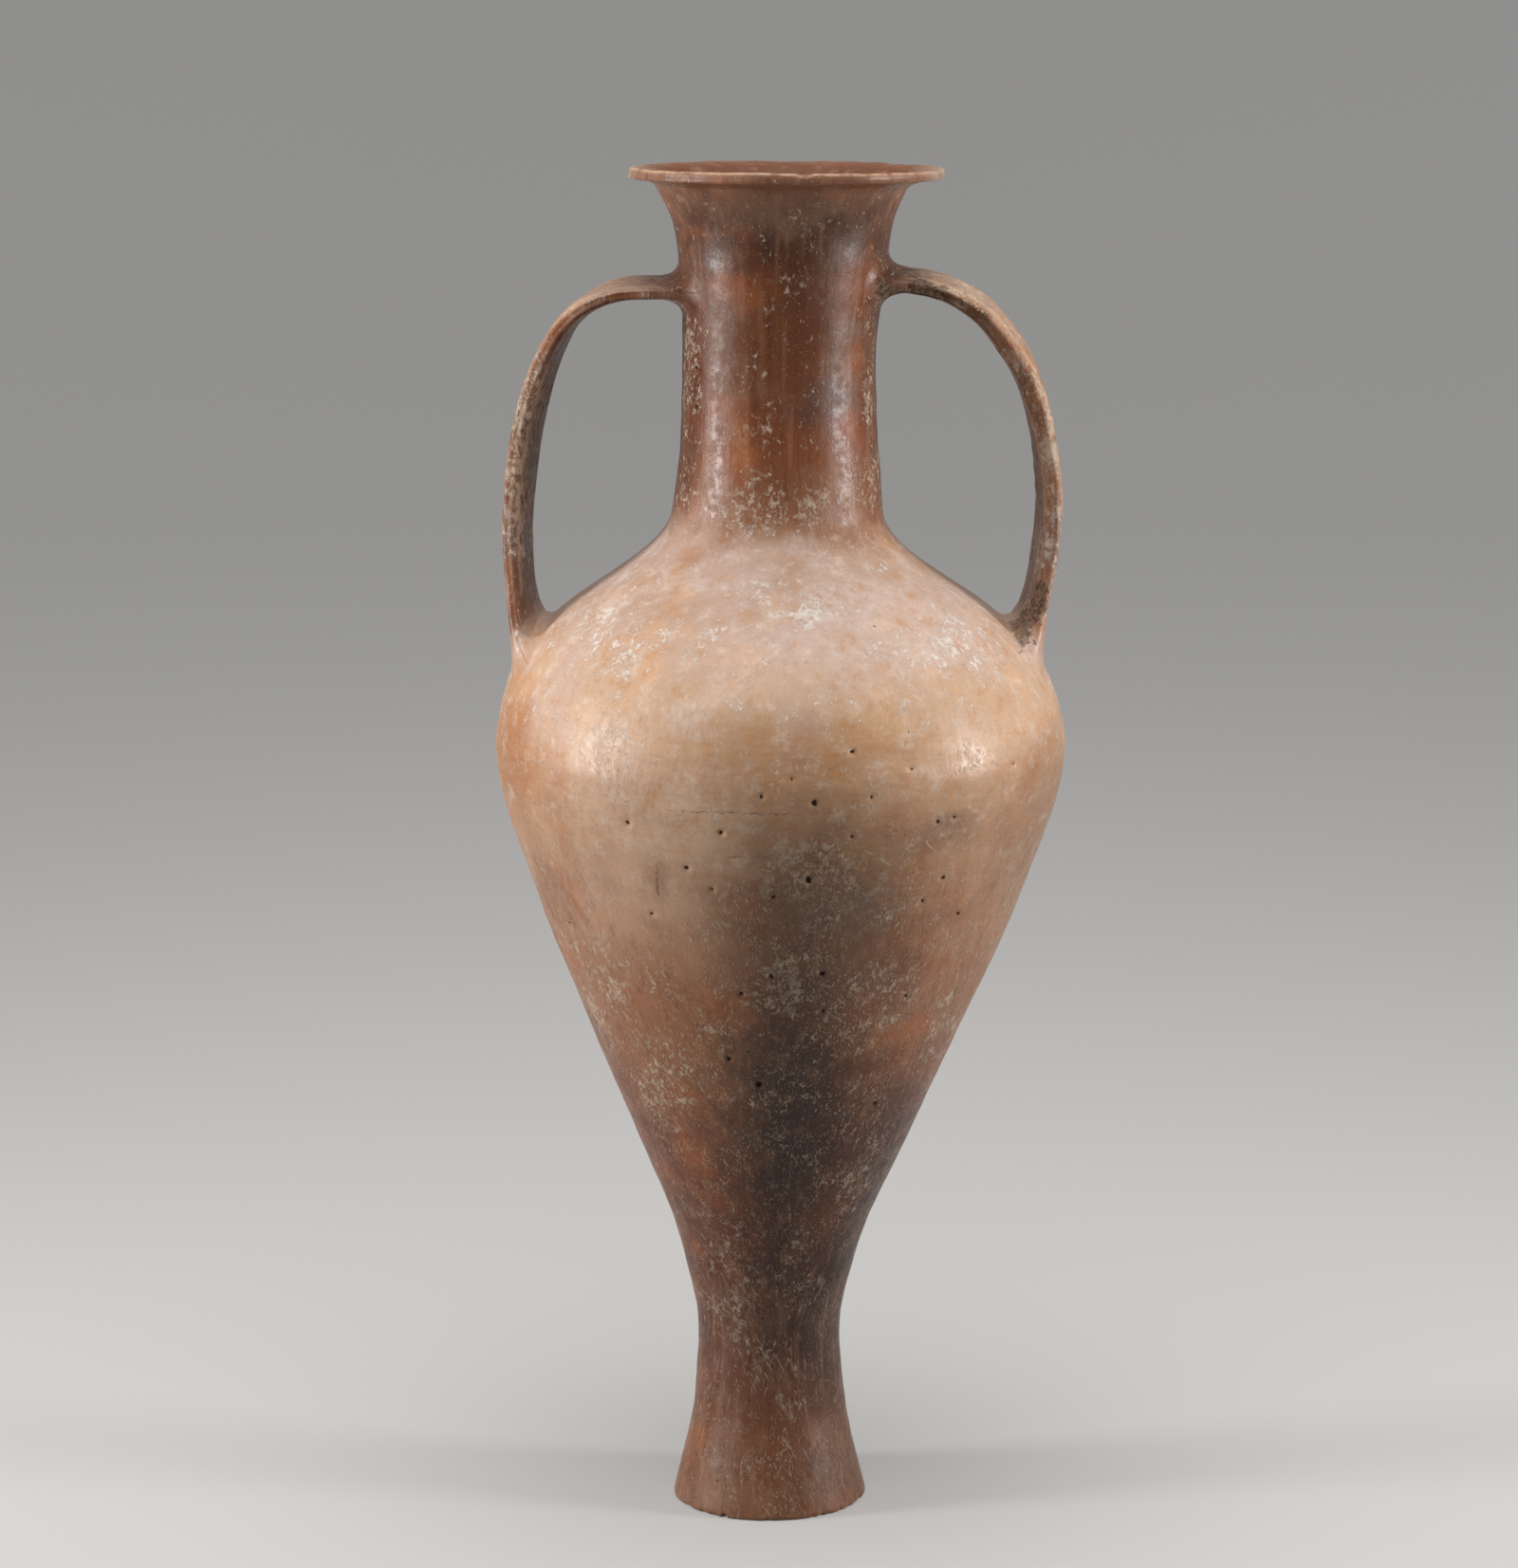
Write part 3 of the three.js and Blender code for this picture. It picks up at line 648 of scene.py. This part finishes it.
    # Painted highlight: a pale line along the lip's top arris and the straps' front arrises, broken up by
    # noise
    highlight_breakup = rising(grain(6 * mm, 3, 0.6, shift=71), 0.3, 0.56)
    colour = tinted(colour, (216, 180, 150), both(edge_highlight, highlight_breakup))

    # Porous places: grey-black and crumbly
    crumbs = grain(1.6 * mm, 4, 0.75, shift=43)
    pores = rising(plus(both(patches(porous_places), 0.5), grain(3 * mm, 3, 0.6)), 0.66, 0.8)
    porous = both(pores, rising(stand_off, 0.02, 0.16))
    soot = tinted((44, 34, 28), (158, 134, 114), rising(crumbs, 0.36, 0.6))
    colour = tinted(colour, soot, both(porous, 0.75))

    # Inside, the clay was never burnished: red, matt and scuffed
    raw = tinted((112, 64, 40), (160, 118, 92), rising(grain(9 * mm, 5, 0.7, shift=47), 0.46, 0.7))
    colour = tinted(colour, raw, inside)
    # Painted shade: the plucked holes and pinholes are darkened nearly to black
    colour = tinted(colour, (26, 16, 11), both(holes, 0.9))

    # Gloss: burnished clay shines, and each layer on it dulls it
    roughness = plus(0.29, both(rising(grain(4 * mm, 4, 0.7, shift=53), 0.34, 0.66), 0.2))
    for layer, dulls in ((film, 0.14), (crust, 0.3), (inside, 0.35), (porous, 0.5), (holes, 0.5)):
        roughness = plus(roughness, both(layer, dulls))

    # Relief in mm: strokes of the burnisher, soft dimples, grit, and crust that stands proud
    relief = both(streaks, 0.1)
    relief = plus(relief, both(grain(6 * mm, 3, 0.6, shift=59), 0.1))
    relief = plus(relief, both(grain(1.1 * mm, 3, 0.65, shift=61), 0.08))
    for layer, rise in ((crust, 0.06), (film, 0.03), (pinholes, -0.3), (both(porous, crumbs), 1.1)):
        relief = plus(relief, both(layer, rise))
    bump = put("Bump", {"Height": relief, "Distance": mm, "Strength": 1.0})
    surface = {"Base Color": colour, "Roughness": roughness, "Normal": bump, "Specular IOR Level": 0.38}
    shader = put("BsdfPrincipled", surface)
    put("OutputMaterial", {"Surface": shader})
    return material


first_clay = burnished_clay("burnished_foot")
clays = {"foot_clay": first_clay}


def same_clay(slot):
    """The same clay for another part of the jar, as a material of its own."""
    clays[slot] = first_clay.copy()
    clays[slot].name = "burnished_" + slot.split("_")[0]


arris_radius = 1.2 * mm
arris_rows = 6
slab_rows = 9
underside_lift = 0.25 * mm
underside_rows = 26
top_rows = 6
arris_wear = 0.25 * mm
innermost_share = 0.06
chip_count = 34
chip_dice = np.random.default_rng(21)
foot_chips = [
    (chip_dice.uniform(-np.pi, np.pi), chip_dice.uniform(0.02, 0.07), chip_dice.uniform(0.3, 1.1))
    for _ in range(chip_count)
]


def worn_arris(angle):
    """How far the arris is worn back round the foot: a soft unevenness, and a scoop at each chip."""
    wear = arris_wear * (1 + np.sin(5 * angle + 1) * np.sin(11 * angle))
    for middle, half_width, depth in foot_chips:
        away = np.angle(np.exp(1j * (angle - middle))) / half_width
        wear = wear + depth * mm * np.exp(-(away**4))
    return wear


def floor_slab(node, slot):
    """The slab: rows over its underside from the middle to the worn arris, up its edge and back over its
    top."""
    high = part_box(node)[1].z
    bottom_radius = outline_radius(0.0) - wall_inset
    middle = outline_middle(np.array(0.0))
    reach = arris_radius + worn_arris(turns)
    rows = []
    for share in np.linspace(innermost_share, 1, underside_rows):
        lift = underside_lift * (1 - share**2)
        rows.append(turned_out(middle, share * (bottom_radius - reach), turns, lift))
    for bend in np.linspace(0, np.pi / 2, arris_rows)[1:]:
        edge = outer_wall(turns, reach * (1 - np.cos(bend)))
        rows.append(edge - turned_out(0, reach * (1 - np.sin(bend)), turns, 0))
    for share in np.linspace(0, 1, slab_rows)[1:]:
        rows.append(outer_wall(turns, reach * (1 - share) + high * share))
    outer_count = len(rows)
    for share in np.linspace(0.9, innermost_share, top_rows):
        rows.append(rows[outer_count - 1] * [share, share, 1] + np.array([middle * (1 - share), 0, 0]))
    rows = np.concatenate(rows)
    face_rows = np.arange(len(rows) - 1)
    parts = [face_rows < underside_rows, face_rows < outer_count - 1]
    shares = np.select(parts, [inner_share, 1], hidden_share)
    clay_piece(node, slot, rows, {"inside": 0.0}, range(outer_count - 1, len(rows) - 1), False, shares)


floor_slab("base_disc", "foot_clay")
raised_course("foot_ring", "foot_clay")
raised_course("foot_stem", "foot_clay")

# The lower body: three courses of the same clay that widen from the stem, luted edge to edge, burnished
# with upright strokes and smoked dark in front by the fire, a darkness deepened with painted shade.
same_clay("body_clay")
for course in ("lower_body_1", "lower_body_2", "lower_body_3"):
    raised_course(course, "body_clay")

# The belly: two courses of the same clay that swell to the widest girth and turn in again, luted on the
# lower body, burnished, and ochre where the fire was clean.
same_clay("belly_clay")
raised_course("belly_1", "belly_clay")
raised_course("belly_2", "belly_clay")

# The shoulder: two courses of the same clay, drawn in over the belly by hand and luted to it, pale and
# pinkish from the film that the ground has left on them.
same_clay("shoulder_clay")
raised_course("shoulder_1", "shoulder_clay")
raised_course("shoulder_2", "shoulder_clay")

# The neck: a base that turns up out of the shoulder, two upright courses and the flare under the lip,
# thinner walled than the body and burnished to a gloss.
same_clay("neck_clay")
for course in ("neck_base", "neck_middle", "neck_upper", "mouth_flare"):
    raised_course(course, "neck_clay")

# The lip: one strip of clay turned out almost flat round the mouth, its edge cut blunt and left a little
# wavy, with a small chip in front. Its section is a line of (out, up) in mm from the top of the mouth flare.
same_clay("lip_clay")
lip_section = np.array([
    (0.0, 0.0), (1.3, 1.5), (3.6, 2.7), (7.0, 3.4), (10.2, 3.7), (11.2, 3.9),
    (11.6, 4.4), (11.7, 5.4), (11.6, 6.6), (11.4, 7.3), (10.8, 7.7), (9.6, 7.8),
    (6.4, 7.6), (3.0, 7.0), (0.0, 5.9), (-2.6, 3.9), (-4.4, 1.9), (-5.4, 0.0),
])
rows_between = 4
highlight_corner = 9.2
highlight_reach = 0.9
inner_start = 0.66
inner_fade = 0.15
mark_strength = 0.8
chip_floor = 0.8
shift_rate = 1.4
edge_reach = 10 * mm
chip_turn = math.atan2(6, 57)
chip_half_width = 0.05
chip_depth = 0.6 * mm
mouth_drop = 0.2 * mm
rim_wave = 0.35 * mm
rim_tremor = 0.16 * mm
rim_gain = 0.35 * mm
end_droop = 0.5 * mm
rim_waves = soft_waves(46 * mm, seed=14)
rim_tremors = soft_waves(9 * mm, seed=15)


def lip_ring(node, slot):
    """The lip: its section carried round the mouth, from the flare's outer edge over the lip to its inner
    edge. The blunt edge swings in and out and rises and falls by soft waves, its right side hangs a little
    and its left side stands as much higher, and a scoop is taken out of the edge in front."""
    low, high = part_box(node)
    even = np.arange(len(lip_section))
    at = np.linspace(0, len(lip_section) - 1, (len(lip_section) - 1) * rows_between + 1)
    out = np.interp(at, even, lip_section[:, 0])[:, None] * mm
    up = np.interp(at, even, lip_section[:, 1])[:, None] * mm
    share = up / (high.z - low.z)
    edge_share = np.clip(out / edge_reach, 0, 1) ** 2
    foot = outer_wall(turns, low.z)
    foot_middle = outline_middle(np.array(low.z))
    foot_radius = np.hypot(foot[..., 0] - foot_middle, foot[..., 1])
    middle = foot_middle + ((low.x + high.x) / 2 - foot_middle) * np.clip(share * shift_rate, 0, 1)
    edge = turned_out(0, high.x, turns, 0)
    wave = rim_wave * rim_waves(edge) + rim_tremor * rim_tremors(edge)
    chip = chip_depth * np.exp(-((np.angle(np.exp(1j * (turns - chip_turn))) / chip_half_width) ** 4))
    radius = foot_radius + out + edge_share * (wave - chip + rim_gain)
    heave = rim_wave * rim_waves(-edge) + rim_tremor * rim_tremors(-edge) - mouth_drop
    level = low.z + up + share * (heave - end_droop * np.sin(turns))
    level = level - chip * edge_share * (share > chip_floor)
    rows = turned_out(middle, radius, turns, level)
    rows[..., 2] = np.minimum(rows[..., 2], high.z)
    rows[-1] = inner_wall(turns, low.z)[0]
    inside = mark_strength * np.clip((at / at[-1] - inner_start) / inner_fade, 0, 1)[:, None]
    # A painted highlight: a pale line along the lip's top arris
    edge_highlight = mark_strength * np.exp(-(((at - highlight_corner) / highlight_reach) ** 2))[:, None]
    clay_piece(node, slot, rows, {"inside": inside, "edge_highlight": edge_highlight}, [len(rows) - 1])


lip_ring("rim_lip", "lip_clay")

# The handles: two straps pulled from a lump of clay, pressed on to the upper neck and drawn down to the
# shoulder. Their faces are crowned and their edges left blunt, with a groove drawn down the front one.
same_clay("handle_clay")
strap_thickness = 7.4 * mm
strap_width = 34 * mm
neck_width = 37 * mm
shoulder_width = 48 * mm
neck_spread_share = 0.14
shoulder_spread_share = 0.22
root_depth = 9 * mm
foot_rise = 10 * mm
section_power = 3.0
strap_columns = 144
strap_rows = 260
left_way = [
    (0.12, 1.0), (0.35, 0.992), (0.48, 0.972), (0.64, 0.922), (0.775, 0.829),
    (0.88, 0.702), (0.964, 0.512), (1.0, 0.285), (0.985, 0.165),
]
right_way = [
    (0.2, 0.996), (0.38, 0.974), (0.48, 0.951), (0.622, 0.904), (0.723, 0.846),
    (0.811, 0.784), (0.9, 0.69), (0.968, 0.562), (1.0, 0.373), (0.976, 0.247),
    (0.925, 0.12),
]
handle_facts = {
    "left": {
        "side": -1,
        "overhang": 2.9 * mm,
        "drop": 9.6 * mm,
        "twists": (-4, -5, 4, 9, 6),
        "thicknesses": (5.8, 6.0, 7.2, 7.4, 7.4),
        "groove": (0.4 * mm, 0.1),
        "lumps": 0.08 * mm,
        "way": left_way,
    },
    "right": {
        "side": 1,
        "overhang": 7 * mm,
        "drop": 7 * mm,
        "twists": (4, 5, 5, -5, -3),
        "thicknesses": (6.6, 7.2, 9.0, 7.4, 7.4),
        "groove": (0.9 * mm, -0.2),
        "lumps": 0.16 * mm,
        "way": right_way,
    },
}
fact_shares = np.array([0, 0.13, 0.3, 0.72, 1.0])
groove_width = 0.3
strap_waves = soft_waves(24 * mm, seed=17)
strap_tremors = soft_waves(6 * mm, seed=18)
strap_swell = 0.25 * mm
share_step = 1e-3


def pulled_strap(side, overhang, drop, twists, thicknesses, groove, lumps, way):
    """A strap's surface by turn round its section and share of its length, and its length. The section is
    a superellipse, |u|^n + |v|^n = 1 across and through the strap, carried along the middle line. It twists
    about that line, widens at both roots and gives up a groove, exp(-((v - middle) / width)^2) deep, down
    its front edge."""
    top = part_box("neck_upper")[1].z - drop
    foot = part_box("shoulder_2")[0].z + foot_rise
    neck_edge = outline_radius(np.array(top))
    shoulder_edge = outline_radius(np.array(foot)) + side * outline_middle(np.array(foot))
    reach = shoulder_edge + overhang
    ways = np.array([
        (neck_edge - root_depth, top),
        *((neck_edge + out * (reach - neck_edge), foot + up * (top - foot)) for out, up in way),
        (shoulder_edge - strap_thickness / 4, foot),
        (shoulder_edge - strap_thickness, foot - root_depth),
    ])
    run = np.concatenate([[0], np.cumsum(np.linalg.norm(np.diff(ways, axis=0), axis=1))])
    out_line = smooth_line(run / run[-1], ways[:, 0])
    up_line = smooth_line(run / run[-1], ways[:, 1])
    twist_line = smooth_line(fact_shares, np.radians(twists))
    thickness_line = smooth_line(fact_shares, np.array(thicknesses) * mm)
    groove_depth, groove_middle = groove

    def middle_line(share):
        return np.stack([side * out_line(share), 0 * share, up_line(share)], axis=-1)

    def surface(turn, share):
        along = middle_line(share + share_step) - middle_line(share - share_step)
        along = along / np.linalg.norm(along, axis=-1, keepdims=True)
        edgeways = np.array([0.0, -side, 0.0]) + 0 * along
        facing = np.cross(edgeways, along)
        twist = twist_line(share)[..., None]
        across = edgeways * np.cos(twist) - facing * np.sin(twist)
        outward = facing * np.cos(twist) + edgeways * np.sin(twist)
        neck_part = np.clip(1 - share / neck_spread_share, 0, None) ** 2
        shoulder_part = np.clip(1 - (1 - share) / shoulder_spread_share, 0, None) ** 2
        width = strap_width + (neck_width - strap_width) * neck_part
        width = width + (shoulder_width - strap_width) * shoulder_part
        u = np.sign(np.cos(turn)) * abs(np.cos(turn)) ** (2 / section_power)
        v = np.sign(np.sin(turn)) * abs(np.sin(turn)) ** (2 / section_power)
        grooved = groove_depth * np.exp(-(((v - groove_middle) / groove_width) ** 2)) * (side * u > 0)
        points = middle_line(share) + across * ((width / 2 - grooved) * u)[..., None]
        points = points + outward * (thickness_line(share) / 2 * v)[..., None]
        swell = strap_swell * strap_waves(points) * abs(v) + lumps * strap_tremors(points)
        edge_swell = lumps * strap_tremors(-points)
        return points + outward * (swell * v)[..., None] + across * (edge_swell * u)[..., None]

    return surface, run[-1]


def stand_off_wall(points):
    """How far points stand off the wall, level: their distance from its middle less its radius there."""
    height = np.clip(points[..., 2], ring_heights[0], ring_heights[-1])
    middle = outline_middle(height)
    wall = outer_wall(np.arctan2(points[..., 0] - middle, -points[..., 1]), height)
    wall_radius = np.hypot(wall[..., 0] - middle, wall[..., 1])
    return np.hypot(points[..., 0] - middle, points[..., 1]) - wall_radius


tone_height = 16 * mm


def strap_share(points):
    """From 0 at the wall to 1 where points stand well clear of it."""
    return np.clip(stand_off_wall(points) / tone_height, 0, 1)


strap_turns = -np.linspace(0, 2 * np.pi, strap_columns, endpoint=False)
inner_face = np.clip(-1.5 * np.sin(strap_turns), 0, 1)
contact_samples = np.linspace(0, 1, 1501)


def crossing(standing, clear, sunk):
    """The share of a strap's length at which each of its lines goes through the wall: in a straight line
    from the last sample that stands clear to the first that is sunk."""
    columns = np.arange(standing.shape[1])
    above = standing[clear, columns]
    below = standing[sunk, columns]
    step = contact_samples[sunk] - contact_samples[clear]
    return contact_samples[clear] + step * above / (above - below)


buried = 2 * mm
highlight_width = 0.22
highlight_strength = 0.6
straps = {}
for label, facts in handle_facts.items():
    surface, length = pulled_strap(**facts)
    standing = stand_off_wall(surface(strap_turns, contact_samples[:, None] + 0 * strap_turns))
    first_clear = np.argmax(standing > 0, axis=0)
    last_clear = len(standing) - 1 - np.argmax(standing[::-1] > 0, axis=0)
    leaves_neck = crossing(standing, first_clear, first_clear - 1)
    meets_shoulder = crossing(standing, last_clear, last_clear + 1)
    straps[label] = (surface, length, leaves_neck, meets_shoulder)
    start = leaves_neck - buried / length
    end = np.minimum(meets_shoulder + buried / length, 1)
    rows = surface(strap_turns, start + (end - start) * np.linspace(0, 1, strap_rows)[:, None])
    # A painted highlight: a pale line along the strap's two front arrises
    corner_turn = (abs(np.sin(strap_turns)) - abs(np.cos(strap_turns))) / highlight_width
    edge_highlight = highlight_strength * np.exp(-(corner_turn**2)) * (facts["side"] * np.cos(strap_turns) > 0)
    marks = {"stand_off": strap_share(rows), "turned_in": inner_face, "edge_highlight": edge_highlight}
    clay_piece(f"handle_{label}", "handle_clay", rows, marks, closes=False)

# The luting: soft clay worked with a thumb round each end of a strap, feathered on to the strap and the
# wall. Each collar is a hollow fillet on the outside and stays buried inside.
same_clay("luting_clay")
fillet_rows = 34
back_rows = 3
feather = 0.12 * mm
buried_depth = 1.2 * mm
luting_reach = {"neck": (12 * mm, 8 * mm), "shoulder": (20 * mm, 10 * mm)}
slope_step = 0.5 * mm


def unit(vectors):
    """Vectors brought to a length of one."""
    return vectors / np.linalg.norm(vectors, axis=-1, keepdims=True)


def luting_collar(label, end):
    """A collar: from each point round the strap a curve runs to the wall, P(t) = A(1 - (1 - t)^2) + B(t^2),
    where A runs down the strap to the corner in which the two meet, and B from there out over the wall. It
    leaves the one and joins the other flush. The way back runs under the corner, inside the clay."""
    surface, length, leaves_neck, meets_shoulder = straps[label]
    along_reach, wall_reach = luting_reach[end]
    contact, away = (leaves_neck, 1) if end == "neck" else (meets_shoulder, -1)

    def strap_square(share):
        round_step = surface(strap_turns - share_step, share) - surface(strap_turns + share_step, share)
        along_step = surface(strap_turns, share + share_step) - surface(strap_turns, share)
        return unit(np.cross(round_step, along_step))

    def seen_from_axis(points):
        height = points[..., 2]
        return np.arctan2(points[..., 0] - outline_middle(height), -points[..., 1]), height

    corner = surface(strap_turns, contact)
    corner_angle, corner_height = seen_from_axis(corner)
    wall_square = unit(turned_out(0, 1, corner_angle, -wall_slope(corner_height, slope_step)))
    square = strap_square(contact)
    outward = unit(square - (square * wall_square).sum(-1, keepdims=True) * wall_square)
    end_angle, end_height = seen_from_axis(corner + wall_reach * outward)
    start_share = contact + away * along_reach / length
    t = np.linspace(0, 1, fillet_rows)[:, None]
    down_strap = surface(strap_turns, start_share + (1 - (1 - t) ** 2) * (contact - start_share))
    angle = corner_angle + t**2 * (end_angle - corner_angle)
    height = corner_height + t**2 * (end_height - corner_height)
    over_wall = outer_wall(angle, height) - outer_wall(corner_angle, corner_height)
    sunk = ((1 - t) ** 6)[..., None] * strap_square(start_share) + (t**6)[..., None] * wall_square
    proud = t**2 * stand_off_wall(corner)
    settled = turned_out(0, proud, angle, 0)
    fillet = down_strap + over_wall - settled - feather * sunk
    under = corner - buried_depth * (square + wall_square)
    t = np.linspace(0, 1, back_rows + 2)[1:-1, None, None]
    back = (1 - t) ** 2 * fillet[-1] + 2 * t * (1 - t) * under + t**2 * fillet[0]
    rows = np.concatenate([fillet, back])
    hidden = np.arange(fillet_rows - 1, len(rows))
    if away < 0:
        rows = rows[::-1]
        hidden = (len(rows) - 2 - hidden) % len(rows)
    marks = {"stand_off": strap_share(rows), "turned_in": inner_face}
    clay_piece(f"luting_{label}_{end}", "luting_clay", rows, marks, hidden)


for label in straps:
    for end in luting_reach:
        luting_collar(label, end)

# The studio: a plain pale floor of painted board that is flat under the jar and sweeps up all round, lit by
# two soft lights at the sides and one overhead.
flat_reach = 3.0
sweep_radius = 2.8
floor_rings = 24
spokes = 128
first_step = 0.05
bend = np.linspace(first_step, np.pi / 2, floor_rings)
flat_radii = np.linspace(first_step, flat_reach, floor_rings)
floor_radii = np.concatenate([flat_radii, flat_reach + sweep_radius * np.sin(bend)])
floor_levels = np.concatenate([np.zeros(floor_rings), sweep_radius * (1 - np.cos(bend))])
floor_turns = np.linspace(0, 2 * np.pi, spokes, endpoint=False)
floor_points = np.stack([
    floor_radii[:, None] * np.cos(floor_turns),
    floor_radii[:, None] * np.sin(floor_turns),
    floor_levels[:, None] + 0 * floor_turns,
], axis=-1).reshape(-1, 3)
floor_quads = joining_quads(len(floor_radii), spokes, len(floor_radii) - 1)[2]
facing_up = [0, 3, 2, 1]
floor_faces = floor_quads[..., facing_up].reshape(-1, 4)
floor_mesh = bpy.data.meshes.new("floor")
floor_mesh.from_pydata(floor_points.tolist(), [], floor_faces.tolist() + [list(range(spokes))])
floor_mesh.shade_smooth()
floor = new_object("floor", floor_mesh)

# The floor's paint looks pale to the camera and in gloss, and lights the jar no more than a grey one
floor_paint, put = bare_paint("floor_paint")
watched = {0: put("LightPath", output="Is Camera Ray"), 1: put("LightPath", output="Is Glossy Ray")}
seen = put("Math", watched, operation="MAXIMUM")
tone = put("Mix", {0: seen, 6: (108, 107, 105), 7: (174, 172, 169)}, output=2, data_type="RGBA")
painted = put("BsdfPrincipled", {
    "Base Color": tone,
    "Roughness": 0.95,
    "Emission Color": (250, 249, 247),
    "Emission Strength": put("Math", {0: seen, 1: 0.22}, operation="MULTIPLY"),
})
put("OutputMaterial", {"Surface": painted})
floor_mesh.materials.append(floor_paint)


def soft_light(name, place, aim, width, height, watts, spread):
    """An oval soft light at a place, turned to face a point, its beam kept within the spread."""
    lamp = bpy.data.lights.new(name, "AREA")
    lamp.shape = "ELLIPSE"
    lamp.size = width
    lamp.size_y = height
    lamp.energy = watts
    lamp.spread = math.radians(spread)
    light = new_object(name, lamp)
    light.location = place
    way = [to - at for to, at in zip(aim, place)]
    light.rotation_euler = mathutils.Vector(way).to_track_quat("-Z", "Y").to_euler()
    light.visible_camera = False


side_azimuth = math.radians(78)
side_distance = 1.25
side_across = side_distance * math.sin(side_azimuth)
side_front = -side_distance * math.cos(side_azimuth)
for side, name, watts in ((-1, "light_left", 5.4), (1, "light_right", 4.5)):
    place = (side * side_across, side_front, 0.45)
    soft_light(name, place, aim=(0, 0, 0.36), width=0.3, height=0.5, watts=watts, spread=120)
top_place = (0, -0.3, 1.9)
soft_light("light_top", top_place, aim=(0, 0, 0.3), width=1.5, height=1.5, watts=23, spread=180)

world = bpy.data.worlds.new("studio")
bpy.context.scene.world = world
world.use_nodes = True
world.node_tree.nodes["Background"].inputs["Color"].default_value = (1, 1, 1, 1)
world.node_tree.nodes["Background"].inputs["Strength"].default_value = 0.16

# The camera stands in front, a little above the rim, and looks slightly down, by its dip in degrees
camera_place = (-8 * mm, -1663 * mm, 569 * mm)
camera_dip = 10.09
camera_data = bpy.data.cameras.new("camera")
camera_data.lens = 104.74
camera = new_object("camera", camera_data)
camera.location = camera_place
camera.rotation_euler = (math.radians(90 - camera_dip), 0, 0)
bpy.context.scene.camera = camera
bpy.context.scene.view_settings.view_transform = "Standard"
